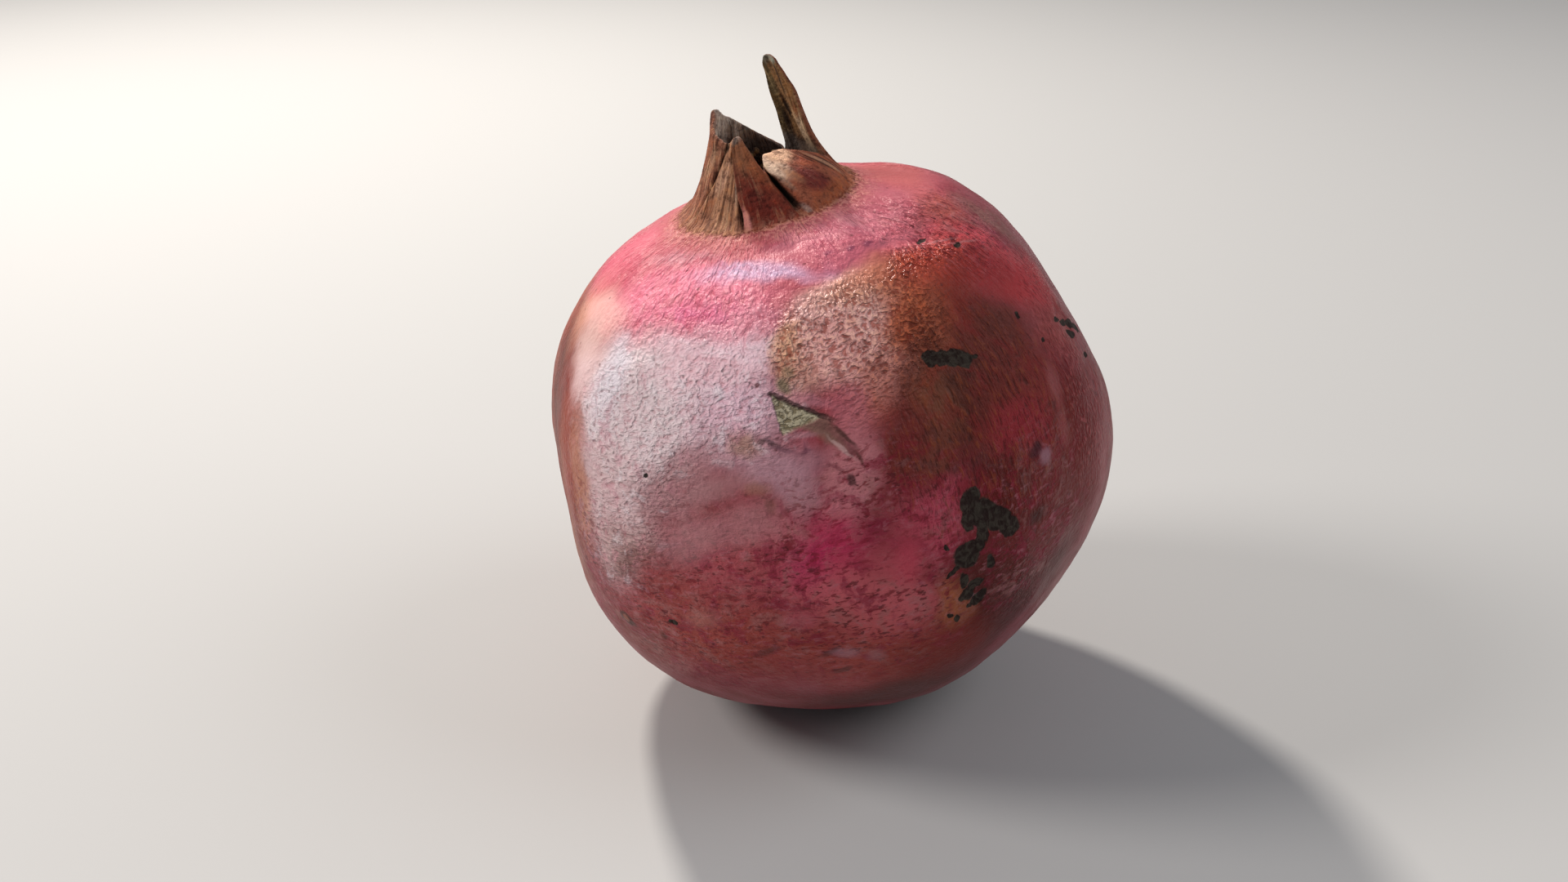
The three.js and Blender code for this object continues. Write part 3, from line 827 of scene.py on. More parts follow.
# Broad colours of the skin, each laid over those before it:
# azimuth, elevation, half width, half height, turn, softness, strength, colour.
skinColours = [
    # all round
    (0, 90, 40, 40, 0, 0.45, 0.9, "c45e68"),       # the coral shoulder
    (0, -90, 40, 40, 0, 0.6, 0.8, "62322a"),       # the brown stem end
    # the orange-brown left side
    (-86, 18, 26, 40, 0, 0.5, 0.95, "80301c"),
    (-62, 20, 8, 30, 0, 0.7, 0.85, "721c16"),
    (-76, 28, 7, 24, 0, 0.8, 0.7, "501a12"),
    (-74, 50, 8, 11, 0, 0.9, 0.75, "e0a088"),
    (-64, 8, 6, 24, -8, 0.8, 0.7, "9c5a32"),
    (-100, 40, 12, 14, 0, 0.7, 0.6, "a8543c"),
    # the pale bloom of the front, partly a painted sheen
    (-19, 35, 17, 9, 3, 0.7, 0.9, "eec6d4"),
    (-38, 35, 14, 15, 12, 0.55, 0.95, "ead2d5"),
    (-42, 16, 10, 14, 8, 0.6, 0.9, "dcbcbe"),
    (-25, 23, 12, 6, 30, 0.7, 0.8, "a87a7e"),
    # the bloom's brightest, whitest patch: a painted sheen
    (-46, 40, 5, 10, 10, 0.8, 0.8, "e4dae2"),
    (-7, 24, 11, 5, -18, 0.8, 0.75, "c498a4"),
    (-1, 19, 6, 4, -21, 0.8, 0.6, "b4828a"),
    (-11, 28, 3.2, 2.3, -6, 0.9, 0.6, "987050"),
    (-37, 7, 8, 3.4, 26, 0.8, 0.7, "643024"),
    (-60, 20, 5.5, 27, -3, 0.8, 0.85, "903420"),
    (-60, 2, 6, 14, -6, 0.9, 0.6, "74301c"),
    (-60, 44, 7, 8, 0, 0.9, 0.7, "e8c4bc"),
    (-30, 49, 16, 3.6, 0, 0.9, 0.55, "ee9cac"),
    # the coral band and the pink over it, with a painted highlight and a painted shadow
    (-30, 56, 18, 6.7, 1, 0.6, 0.95, "ec849a"),
    (-22, 53, 7, 2.6, -8, 0.9, 0.7, "ee749c"),
    (-80, 60, 15, 9, 11, 0.8, 0.9, "d86478"),
    # a painted highlight, pale lavender, on the band in front of the crown
    (-6, 60, 12, 2.8, -8, 0.8, 0.85, "dcc0e0"),
    (-43, 64, 8, 2.8, 10, 0.9, 0.6, "cc8c98"),
    (-14, 46, 13, 4.2, -8, 0.8, 0.95, "ffd8e2"),
    (31, 60, 12.4, 5.6, 2, 0.7, 0.9, "cc6a7a"),
    # a painted shadow that the crown casts on the shoulder in front of it
    (9, 49, 3.2, 4.0, 0, 0.8, 0.7, "7c5468"),
    (16, 54, 2.5, 5.0, -20, 0.8, 0.6, "d89cbc"),
    # right of the crown
    (77, 66, 16, 5.7, -28, 0.7, 0.85, "b45e6a"),
    (110, 62, 14, 7, 0, 0.7, 0.8, "c46562"),
    (74, 55, 8.7, 6, -15, 0.8, 0.85, "b0564a"),
    (88, 44, 6, 8, 20, 0.8, 0.75, "8a6058"),
    (64, 46, 10, 5.6, -60, 0.7, 0.9, "ed5e66"),
    (69, 35, 13, 7, -10, 0.7, 0.85, "c43e42"),
    (66, 24, 10, 7.5, -7, 0.8, 0.8, "9e4a46"),
    # russet
    (21, 43, 13.4, 11.5, -8, 0.35, 0.95, "f6bcb4"),
    (27, 51, 11, 5, -7, 0.7, 0.85, "d0907a"),
    (14, 41, 7.5, 7, -15, 0.7, 0.8, "eca8a2"),
    (0, 44, 3.4, 6, -8, 0.8, 0.75, "f4b48c"),
    (33, 41, 6, 12, -44, 0.7, 0.9, "b4542c"),
    (36, 51, 7.5, 5, -23, 0.8, 0.7, "c66c50"),
    (19, 33, 5.3, 6, -29, 0.8, 0.7, "b05a4c"),
    (12, 32, 4.6, 4.2, -14, 0.8, 0.7, "b85866"),
    # maroon
    (40, 27, 15, 14, 29, 0.5, 0.95, "642c22"),
    (50, 48, 9, 8, -20, 0.7, 0.85, "d45440"),
    (48, 40, 5, 11, -50, 0.8, 0.8, "842a20"),
    (60, 40, 7, 8, 0, 0.8, 0.7, "9c2c2e"),
    (22, 22, 6.5, 11.5, -20, 0.5, 0.9, "742e28"),
    (32, 25, 8, 11, -33, 0.8, 0.8, "582a22"),
    (45, 14, 14, 15, 0, 0.7, 0.85, "883230"),
    (42, 16, 8, 6, -25, 0.8, 0.7, "9c2a36"),
    (57, 2, 11, 20, -13, 0.7, 0.8, "661610"),
    (34, 7, 15, 7, -30, 0.7, 0.8, "581410"),
    # lower front
    (9, 21, 5, 12, -16, 0.6, 0.9, "c47a80"),
    (0, 7, 10, 10, 0, 0.8, 0.8, "c03462"),
    (20, 7, 7, 8, 0, 0.8, 0.9, "c24c60"),
    (-16, 8, 13.6, 8.7, 4, 0.8, 0.7, "b4545c"),
    (-6, 14, 9, 5.5, -7, 0.8, 0.6, "b86c74"),
    (5, -4, 14.7, 9, -21, 0.8, 0.7, "e06e76"),
    (-21, -10, 26, 12, -5, 0.8, 0.7, "a8483c"),
    (8, -19, 17, 12, -10, 0.8, 0.7, "b04c40"),
    (-30, -1, 9, 9, 0, 0.8, 0.6, "9c4844"),
    # lower right
    (30, -15, 11, 18, 20, 0.6, 0.9, "46150f"),
    (36, -1, 8.6, 12, 29, 0.8, 0.8, "5e140f"),
    (20, -10, 4.2, 7, 12, 0.8, 0.8, "ac6240"),
    (16, -24, 13.8, 11.7, -19, 0.8, 0.8, "742418"),
    (4, -38, 24, 10, 0, 0.8, 0.8, "54322c"),
    (48, -8, 10, 13, 8, 0.8, 0.7, "621712"),
    # over them, where two of them meet
    (-57, 37, 5, 8, 0, 0.8, 0.7, "e8c8c8"),
    (-61, 51, 9, 4.5, 0, 0.8, 0.7, "f4bcb4"),
    (-54, 17, 4, 14, 0, 0.8, 0.6, "c48a6c"),
    (-40, 10, 9, 5, 10, 0.8, 0.5, "986c66"),
    (-45, -12, 9, 9, 10, 0.8, 0.7, "722c26"),
    (48, -22, 9, 9, 0, 0.8, 0.7, "521612"),
    (37, -14, 7, 8, 0, 0.8, 0.5, "4a1814"),
    (30, 66, 20, 4.5, 0, 0.8, 0.5, "dc8898"),
    (50, 56, 8, 5, -20, 0.8, 0.6, "dc7884"),
    (-11, 50, 10, 3.5, -4, 0.8, 0.7, "f8a8b8"),
    (-22, 42, 9, 4, 0, 0.8, 0.7, "ffd0d8"),
    (2, 38, 4, 4, 0, 0.8, 0.6, "d8a08c"),
    (38, 40, 5, 8, -40, 0.8, 0.5, "a8583c"),
    (34, 34, 5, 5, 0, 0.8, 0.5, "94503c"),
    (27, 27, 4, 7, -10, 0.8, 0.6, "84503a"),
    (23, 19, 3.5, 6, -10, 0.8, 0.5, "7e4838"),
    # the far side
    (175, 25, 22, 16, 10, 0.6, 0.8, "c88c8c"),
    (-150, 8, 14, 18, -20, 0.6, 0.7, "963c44"),
    (-120, 30, 12, 9, 20, 0.6, 0.7, "a86c50"),
    (128, 0, 16, 20, 15, 0.7, 0.7, "6a242a"),
]

# Where each fine texture lies: azimuth, elevation, half width, half height, turn.
textures = {
    "russet": [
        (20, 42, 15, 13, 0), (32, 41, 8, 12, -30), (3, 44, 7, 8, 0), (46, 50, 9, 5, 0),
        (-118, 30, 12, 9, 20),
    ],
    "bloom": [(-37, 31, 17, 18, 0), (-16, 36, 17, 12, -10), (-42, 12, 13, 14, 0), (175, 25, 22, 16, 10)],
    "fibres": [
        (40, 20, 20, 24, 0), (24, 16, 10, 16, 0), (80, 8, 14, 30, 0), (-84, 18, 17, 36, 0),
        (130, 5, 18, 22, 0),
    ],
    "flakes": [
        (-28, 53, 22, 8, 0), (-40, 64, 24, 9, 0), (8, 68, 20, 4, 0), (52, 63, 20, 6, -10),
        (-118, 58, 24, 8, 0), (150, 62, 24, 6, 0),
    ],
    "ridges": [(64, 14, 8, 24, -6), (74, 34, 8, 10, -20), (62, 46, 14, 9, -20)],
    "blotches": [
        (2, 0, 34, 28, 0), (-30, -8, 22, 18, 0), (40, -4, 20, 20, 0), (12, 18, 9, 10, 0),
        (-160, -10, 30, 26, 0), (-22, 10, 18, 12, 10), (-56, 0, 12, 24, 0), (70, 52, 18, 12, -20),
        (104, 0, 38, 40, 0), (-112, -6, 34, 36, 0), (170, 44, 50, 22, 0),
    ],
}

# The fine colours, each laid over those before it: pattern, texture, where the pattern starts to show and
# is full, strength, colour, blend.
fineColours = [
    ("stain", "blotches", 0.50, 0.62, 0.65, "861a38", "MIX"),
    ("stain", "blotches", 0.47, 0.36, 0.50, "a06a68", "MIX"),
    ("stain", "bloom", 0.52, 0.66, 0.45, "ece2e8", "MIX"),
    ("stain", "bloom", 0.47, 0.34, 0.40, "cc8494", "MIX"),
    ("stain", "fibres", 0.50, 0.64, 0.35, "8a2024", "MIX"),
    ("stain", "fibres", 0.47, 0.34, 0.40, "301410", "MIX"),
    ("stain", "russet", 0.52, 0.64, 0.30, "a44c26", "MIX"),
    ("stain", "russet", 0.48, 0.38, 0.45, "6a2c1c", "MIX"),
    ("stain", "flakes", 0.50, 0.62, 0.35, "e89498", "MIX"),
    ("stain", "flakes", 0.48, 0.36, 0.35, "c8405a", "MIX"),
    # the lower skin: reddish and mauve flecks, and short dark dashes
    ("fleck", "blotches", 0.55, 0.68, 0.35, "c07884", "MIX"),
    ("fleck", "blotches", 0.46, 0.36, 0.75, "742028", "MIX"),
    ("dash", "blotches", 0.61, 0.68, 0.75, "5a2026", "MIX"),
    # painted shade between the bloom's wrinkles and between the coral shoulder's flakes, and a painted
    # highlight on their crests
    ("wrinkle", "bloom", 0.46, 0.32, 0.36, "c47c84", "MULTIPLY"),
    ("wrinkle", "bloom", 0.53, 0.64, 0.45, "fff4ee", "SOFT_LIGHT"),
    ("lump", "flakes", 0.46, 0.32, 0.36, "c47c84", "MULTIPLY"),
    ("lump", "flakes", 0.53, 0.64, 0.45, "fff4ee", "SOFT_LIGHT"),
    # russet: corky beads, with painted shade in the gaps between them and a painted highlight on them
    ("bead", "russet", 0.47, 0.35, 0.70, "a86450", "MULTIPLY"),
    ("bead", "russet", 0.54, 0.66, 0.60, "ffe4cc", "SOFT_LIGHT"),
    # fibres of the dark side
    ("fibre", "fibres", 0.54, 0.66, 0.50, "90482a", "MIX"),
    ("fibre", "fibres", 0.46, 0.34, 0.50, "30140f", "MIX"),
    # small upright ridges at the right, pale partly as painted glints
    ("grit", "ridges", 0.53, 0.63, 0.45, "b85c5e", "MIX"),
    ("grit", "ridges", 0.47, 0.36, 0.50, "6a1c22", "MIX"),
]

# How far the patterns raise the skin where a texture lies, in millimetres: pattern, texture, rise.
fineRelief = [
    ("wrinkle", "bloom", 0.80), ("lump", "flakes", 0.85), ("peel", "russet", 0.40),
    ("fibre", "fibres", 0.52), ("fleck", "blotches", 0.30), ("grit", "ridges", 0.60),
]

# The dry crown's finish. Pairs of heights are where a part starts to show and is full, and pairs of colours
# are its dark and its pale hairs.
crownFinish = {
    "roughness": 0.75,
    # painted shade deep in the cup, its strength, and the heights where it starts and is full
    "cupShadeColour": "4c4440",   # deep in the cup
    "cupShadeShare": 0.80,
    "cup": (8.0, 4.5),
    "wander": 4.5,           # how far its lower edge strays up and down
    "edge": (-2.2, 0.0),
    "foot": (2.2, -1.0),     # the foot's own colour
    "footColours": ("743a30", "c4846c"),
    "footShare": 0.70,
    "ring": (-5.0, -1.6),    # the dry ring of skin round the foot
    "ringColours": ("9c5048", "dc9484"),
    "ringShare": 0.55,
    "ringRelief": 0.16,
    "streakRelief": 0.50,
    "blotRelief": 0.45,
}

# Its fibres and blots, laid over the sepals' colours: pattern, whether it keeps to the striped sepals,
# where it starts to show and is full, strength, colour, blend.
dryColours = [
    ("band", True, 0.46, 0.34, 0.55, "643a2c", "MIX"),
    ("streak", True, 0.47, 0.34, 0.80, "3a2018", "MIX"),
    ("streak", True, 0.53, 0.68, 0.65, "c8a07c", "MIX"),
    ("blot", False, 0.48, 0.36, 0.55, "4a2018", "MULTIPLY"),
    ("blot", False, 0.52, 0.64, 0.40, "ffe0c0", "SOFT_LIGHT"),
]

# Black scabs, each a few ragged lobes: azimuth, elevation, half width, half height, turn.
scabs = [
    # the mushroom-shaped one
    (26.8, 7.4, 1.6, 2.6, 0), (27.8, 9.0, 1.3, 1.2, 0), (25.7, 5.2, 1.1, 1.7, 0),
    (29.0, 5.0, 3.0, 2.4, -40), (31.6, 2.6, 3.2, 1.9, -42), (33.7, -0.2, 2.1, 1.7, -50),
    (28.0, 1.6, 1.2, 2.0, 0), (27.0, -0.4, 0.9, 1.4, 0),
    # the drops below it
    (24.1, -1.4, 2.5, 2.0, -40), (25.6, -0.4, 1.8, 1.2, -42), (28.6, -5.1, 0.8, 1.3, 0),
    (21.0, -3.2, 1.5, 0.5, 18), (22.7, -6.3, 0.8, 1.6, 0), (25.0, -8.1, 1.5, 0.9, 6),
    (22.8, -9.6, 1.4, 1.1, 0), (25.1, -11.6, 1.7, 1.1, 21), (22.9, -12.4, 0.7, 0.5, -25),
    (20.1, -14.0, 0.5, 0.9, 0), (19.0, -12.5, 0.7, 0.4, -49), (20.6, 2.0, 0.6, 0.3, -33),
    # the row above
    (30.7, 33.8, 1.4, 1.2, -16), (30.5, 33.0, 0.9, 0.7, 48), (32.2, 33.2, 0.9, 0.8, 8),
    (33.3, 32.7, 1.4, 1.1, 51), (34.5, 32.3, 1.2, 0.9, 36), (35.7, 31.8, 1.6, 1.3, 25),
    (36.9, 31.3, 1.5, 1.1, 30), (37.6, 30.5, 1.4, 1.1, -12), (40.0, 30.2, 0.8, 0.4, 10),
    # the cluster at the right
    (67.8, 24.6, 1.4, 0.5, -20), (70.5, 22.8, 1.6, 0.6, -19), (74.5, 20.8, 2.2, 0.9, -31),
    (70.9, 20.1, 1.8, 0.8, -32), (78.5, 18.0, 2.8, 0.8, -30), (72.7, 14.2, 1.4, 0.5, -26),
    (56.1, 31.4, 0.6, 0.4, 46), (58.7, 24.6, 0.5, 0.4, -16),
    # single holes and specks
    (-33.0, 23.3, 0.5, 0.5, 0), (59.6, 47.9, 0.9, 0.45, 0), (52.8, 53.0, 1.0, 0.35, 0),
    (-32.4, -5.6, 0.8, 0.5, 0), (-172, -8, 2.4, 1.2, 30), (-168, -11, 1.1, 0.8, 0),
]

# Small coloured marks: azimuth, elevation, half width, half height, turn, softness, strength, colour.
marks = [
    (12, 5, 7, 5, 20, 0.8, 0.5, "c04c5c"),                # pinker below the scar
    (0, 24, 5, 3, 0, 0.8, 0.5, "bc8c98"),
    (48, -18, 7, 5, 0, 0.8, 0.5, "4c1612"),
    (3.2, 30.4, 3.6, 1.7, -24, 0.5, 0.85, "846258"),      # the scar's brown folds
    (6.4, 27.6, 3.4, 1.3, -44, 0.6, 0.8, "74504a"),       # its tail
    (8.8, 24.4, 2.6, 1.0, -56, 0.7, 0.7, "723c40"),
    (3.6, 34.2, 5.0, 1.2, -30, 0.8, 0.6, "c8808c"),       # the pink lip over it
    (1.0, 28.4, 3.2, 0.6, -8, 0.8, 0.6, "bc8890"),        # and the pale one below
    (-0.8, 37.2, 1.2, 1.8, 20, 0.7, 0.8, "7e7458"),       # greenish spots
    (0.6, 39.2, 1.3, 1.4, 0, 0.8, 0.6, "807050"),
    (-5.0, 28.0, 2.2, 0.5, -32, 0.7, 0.75, "583c42"),     # a short dark crack
    (-3.0, 26.6, 2.6, 0.5, -22, 0.8, 0.6, "6a4450"),
    (-7.0, 28.6, 0.7, 0.5, 0, 0.6, 0.7, "543c3c"),
    (1.1, 25.6, 1.6, 0.35, 5, 0.8, 0.6, "6a3c4c"),
    (1.1, 26.2, 0.35, 1.1, 0, 0.8, 0.5, "6a3c4c"),
    (5.5, 22.0, 1.8, 0.5, -40, 0.8, 0.6, "6a2c38"),
    (7.8, 19.2, 0.7, 1.2, 10, 0.6, 0.8, "3c2424"),
    (-6.5, 38.2, 0.5, 0.5, 0, 0.6, 0.85, "6c3038"),
    (-45.3, -7.7, 1.7, 1.8, 0, 0.3, 0.85, "46241f"),      # the ring scar, and its middle
    (-45.3, -7.5, 0.9, 1.0, 0, 0.4, 0.85, "8a5040"),
    (-36.5, -9.5, 1.0, 1.2, 0, 0.7, 0.7, "4c241e"),
    (45.7, 7.7, 1.9, 1.7, 0, 0.7, 0.75, "a07480"),
    (44.0, 9.8, 2.2, 1.3, 20, 0.7, 0.8, "42222a"),
    (40.5, -2.0, 3.0, 2.0, 0, 0.8, 0.8, "3e1c1a"),
    (-7.5, 17.5, 1.2, 1.6, 0, 0.8, 0.6, "6c4032"),
    (-4.0, -14.0, 2.6, 0.7, 24, 0.7, 0.6, "5a3432"),
    (-3.0, -20.0, 2.4, 0.9, 14, 0.8, 0.6, "4a3432"),
    (4.0, -17.0, 2.0, 2.2, 0, 0.8, 0.3, "a88490"),
    # the scar's tail: its dark edge is partly painted shade, and its pale line a painted highlight along a
    # fold
    (8.7, 26.5, 3.2, 0.4, -58, 0.7, 0.8, "4c302c"),       # dark edge and folds of the scar's tail
    (10.2, 22.4, 2.1, 0.4, -78, 0.8, 0.7, "5a3430"),
    (5.4, 27.0, 4.5, 1.0, -44, 0.8, 0.5, "84685a"),
    (7.5, 24.8, 3.2, 0.4, -53, 0.8, 0.5, "d8b4b0"),
    (-16.5, 21.2, 7.8, 2.5, 15, 0.8, 0.5, "b08486"),      # greyish pink, crimson and mauve, lower front
    (-9.5, 20.7, 2.9, 1.4, -6, 0.8, 0.5, "9c6c58"),
    (-14.0, 14.5, 9.0, 4.5, 12, 0.8, 0.6, "b47c80"),
    (-25.0, 12.0, 8.0, 5.0, 24, 0.8, 0.6, "b88488"),
    (2.6, 9.0, 6.0, 6.5, -17, 0.8, 0.45, "c42c54"),
    (13.2, 1.8, 5.2, 3.0, 73, 0.8, 0.6, "d04c60"),
    (-1.3, -14.8, 3.0, 1.6, -20, 0.8, 0.35, "b898a8"),
    (-25.6, -4.1, 5.1, 2.4, 13, 0.8, 0.5, "b07068"),
    (-7.1, -4.8, 3.7, 2.9, -2, 0.8, 0.5, "c05868"),
    (-15.4, -12.2, 3.8, 1.0, 25, 0.8, 0.6, "4c2a28"),
    # the pale ridges at the right are partly painted glints
    (55.2, 17.3, 4.2, 2.0, 84, 0.8, 0.25, "c87c7c"),       # pale ridges at the right
    (53.2, 9.9, 4.7, 1.7, 81, 0.8, 0.25, "c07070"),
    (57.0, 50.8, 3.8, 0.3, -30, 0.8, 0.4, "e0a0a0"),      # pale crease lines at the shoulder
    (62.0, 47.5, 4.4, 0.3, -34, 0.8, 0.5, "dc9090"),
    (23.9, -10.4, 0.6, 0.5, 0, 0.6, 0.8, "7a6468"),
    (36, 58, 1.2, 0.9, 0, 0.7, 0.6, "7c3c58"),            # plum dots of the shoulder
    (30, 59, 0.9, 0.7, 0, 0.7, 0.6, "7c3c58"),
    (22, 60, 1.0, 0.6, 0, 0.7, 0.5, "84405c"),
]

# The scar's plate is a triangle under a dark line. Lengths run along and across the line, from the
# scar's middle, and a pair is where an edge starts to show and is full, from the edge's own place.
scar = {
    "azimuth": 1,
    "elevation": 31,
    "turn": -35,
    "lineAt": 1.6,
    "lineFrom": -5.0,
    "lineTo": 5.5,
    "lineWidth": 0.42,
    "plateFrom": -4.9,
    "plateTo": 2.8,
    "plateFoot": (-1.2, -2.9),
    "plateTop": (0.1, -0.2),
    "leftEdge": (-0.1, 0.3),
    "rightEdge": (-0.2, 0.8),
    "lineStart": (-0.3, 0.2),
    "lineEnd": (0.5, -3.0),
    "plateColours": ("7e7458", "b8ae92"),
    "plateShare": 0.95,
    "plateRoughness": 0.3,   # over the skin's own
    "plateDepth": 0.35,
    "plateRelief": 0.2,
    "lineColour": "4a3030",
    "lineShare": 0.85,
    "lineDepth": 0.3,
    "reach": 12,
}


# The scar's plate and the dark line over it, as masks.
def scarMasks(finish, at, ragged):
    along, across = finish.local(ragged, scar["azimuth"], scar["elevation"], scar["turn"])
    near = finish.patch(at, (scar["azimuth"], scar["elevation"], scar["reach"], scar["reach"], 0), 0.2)
    under = scar["lineAt"] - across
    footAlong, footAcross = scar["plateFoot"]
    fallen = under * (1 / (scar["lineAt"] - footAcross))
    fromLeft = along - (scar["plateFrom"] + fallen * (footAlong - scar["plateFrom"]))
    fromRight = scar["plateTo"] + fallen * (footAlong - scar["plateTo"]) - along
    plate = finish.fade(across - scar["lineAt"], *scar["plateTop"]) * near
    plate = plate * finish.fade(fromLeft, *scar["leftEdge"]) * finish.fade(fromRight, *scar["rightEdge"])
    line = finish.fade(abs(under), scar["lineWidth"], scar["lineWidth"] * 0.3) * near
    line = line * finish.fade(along - scar["lineFrom"], *scar["lineStart"])
    line = line * finish.fade(along - scar["lineTo"], *scar["lineEnd"])
    return plate, line


# The patterns that colours and relief share. Some are drawn out, because azimuth and height count by
# different shares: alongStem and steep run from crown to stem, and acrossStem runs round the fruit.
def skinPatterns(finish, at, drift):
    flat = finish.vector("MULTIPLY", at, (1, 1, 0))
    belt = finish.scale(finish.vector("NORMALIZE", flat), rind["radius"] * mm)
    alongStem = finish.vector("ADD", belt, finish.vector("MULTIPLY", at, (0, 0, 0.34)))
    steep = finish.vector("ADD", belt, finish.vector("MULTIPLY", at, (0, 0, 0.5)))
    acrossStem = finish.vector("ADD", finish.scale(belt, 0.5), finish.vector("MULTIPLY", at, (0, 0, 1.1)))
    return {
        "stain": finish.noise(drift, 3.0, 5.0, 0.65),
        "peel": finish.noise(finish.stirred(at, 1.8, 0.8), 0.85),
        "wrinkle": finish.noise(finish.stirred(acrossStem, 1.6, 0.45), 0.50),
        "lump": finish.noise(finish.stirred(acrossStem, 2.4, 0.3), 0.70, 3.0, 0.6),
        "bead": finish.noise(finish.stirred(acrossStem, 1.4, 0.4), 0.42, 1.5, 0.4),
        "fibre": finish.noise(finish.stirred(alongStem, 2.0, 0.6), 0.55, 3.0, 0.6),
        "grit": finish.noise(finish.stirred(steep, 1.4, 0.5), 0.50),
        "fleck": finish.noise(finish.stirred(acrossStem, 1.6, 0.7), 0.85, 3.0, 0.6),
        "dash": finish.noise(acrossStem, 0.62),
    }


# The crown's own patterns, drawn out along its grain.
def crownPatterns(finish, at):
    strand = finish.vector("MULTIPLY", finish.attribute("grain", "Vector"), (1, 1, crown["grainStretch"]))
    strand = finish.scale(strand, mm)
    return {
        "streak": finish.noise(strand, 0.42, 3.0, 0.6),
        "band": finish.noise(strand, 1.8, 3.0, 0.6),
        "blot": finish.noise(at, 1.2, 4.0, 0.62),
        "hair": finish.noise(finish.stirred(at, 1.2, 0.6), 0.5),
    }


def makeRindFinish():
    finish = Finish("rind skin and dry crown")
    upright = finish.node("TexCoord", {}, {}, "Object")
    at = finish.node("Mapping", {"vector_type": "TEXTURE"}, {
        "Vector": upright, "Location": (0, 0, middleHeight * mm), "Rotation": lean})
    soft = finish.stirred(at, rindFinish["softSize"], rindFinish["softReach"])
    drift = finish.stirred(soft, rindFinish["fraySize"], rindFinish["frayReach"], 4.0)
    ragged = finish.stirred(at, 1.1, 0.35, 2.0)
    edge = rindFinish["textureEdge"]
    masks = {name: finish.patches(drift, spots, edge) for name, spots in textures.items()}

    # the skin: broad colours, then fine ones
    cloud = finish.noise(at, rindFinish["cloudSize"], 4.0, 0.6)
    paint = finish.mix(finish.fade(cloud, 0.32, 0.70), rindFinish["ground"], rindFinish["groundDark"])
    paint = finish.painted(paint, drift, skinColours)
    patterns = skinPatterns(finish, at, drift)
    for pattern, texture, low, high, strength, colour, blend in fineColours:
        share = finish.fade(patterns[pattern], low, high, strength) * masks[texture]
        paint = finish.mix(share, paint, colour, blend)

    # pores of the bloom, and specks everywhere
    pore = 1 - finish.fade(finish.cells(ragged, rindFinish["poreSize"]), 0.13, 0.24)
    pore = pore * masks["bloom"] * finish.fade(finish.noise(at, 3.0), 0.44, 0.56)
    speck = finish.fade(finish.cells(ragged, rindFinish["speckSize"]), 0.13, 0.06)
    paint = finish.mix(pore * rindFinish["poreShare"], paint, rindFinish["poreColour"])
    paint = finish.mix(speck * rindFinish["speckShare"], paint, rindFinish["speckColour"])
    paint = finish.painted(paint, ragged, marks)

    # the scar and the scabs
    plate, line = scarMasks(finish, at, ragged)
    mottle = finish.fade(patterns["wrinkle"], 0.40, 0.58)
    paint = finish.mix(plate * scar["plateShare"], paint, finish.mix(mottle, *scar["plateColours"]))
    paint = finish.mix(line * scar["lineShare"], paint, scar["lineColour"])
    scab = finish.patches(finish.stirred(at, 1.6, 0.65, 3.0), scabs, rindFinish["scabEdge"])
    crust = finish.mix(finish.fade(patterns["peel"], 0.42, 0.60), *rindFinish["scabColours"])
    paint = finish.mix(scab * rindFinish["scabShare"], paint, crust)

    # the crown: each sepal's own colour, with painted shade deep in the cup
    dried = crownPatterns(finish, at)
    rise = finish.attribute("rise")
    striped = finish.attribute("striped")
    dry = finish.attribute("tint", "Color")
    for pattern, onStripes, low, high, strength, colour, blend in dryColours:
        share = finish.fade(dried[pattern], low, high, strength)
        dry = finish.mix(share * striped if onStripes else share, dry, colour, blend)
    # painted shade deep inside the cup
    deep = finish.attribute("inside") * finish.fade(rise, *crownFinish["cup"])
    dry = finish.mix(deep * crownFinish["cupShadeShare"], dry, crownFinish["cupShadeColour"])

    # its foot, and the dry ring of skin round it
    level = rise + (dried["blot"] - 0.5) * crownFinish["wander"]
    ring = finish.fade(level, *crownFinish["ring"])
    dryRing = finish.mix(finish.fade(dried["hair"], 0.4, 0.6), *crownFinish["ringColours"])
    paint = finish.mix(ring * crownFinish["ringShare"], paint, dryRing)
    foot = finish.mix(finish.fade(dried["hair"], 0.42, 0.58), *crownFinish["footColours"])
    dry = finish.mix(finish.fade(level, *crownFinish["foot"], crownFinish["footShare"]), dry, foot)
    crownMask = finish.fade(level, *crownFinish["edge"])
    skinMask = 1 - crownMask
    paint = finish.mix(crownMask, paint, dry)

    # relief, in millimetres
    height = patterns["peel"] * rindFinish["peelRelief"] + finish.noise(at, 0.4) * rindFinish["grainRelief"]
    beads = finish.fade(patterns["bead"], 0.34, 0.64)
    height = height + beads * masks["russet"] * rindFinish["beadRelief"]
    for pattern, texture, raised in fineRelief:
        height = height + patterns[pattern] * masks[texture] * raised
    height = height - pore * rindFinish["poreDepth"] - line * scar["lineDepth"]
    height = height - plate * (scar["plateDepth"] - mottle * scar["plateRelief"])
    fibres = dried["streak"] * striped * crownFinish["streakRelief"]
    height = height * skinMask + (fibres + dried["blot"] * crownFinish["blotRelief"]) * crownMask
    height = height + dried["hair"] * ring * crownFinish["ringRelief"]
    finish.bump(height + scab * (patterns["peel"] * rindFinish["scabRelief"] - rindFinish["scabDepth"]))

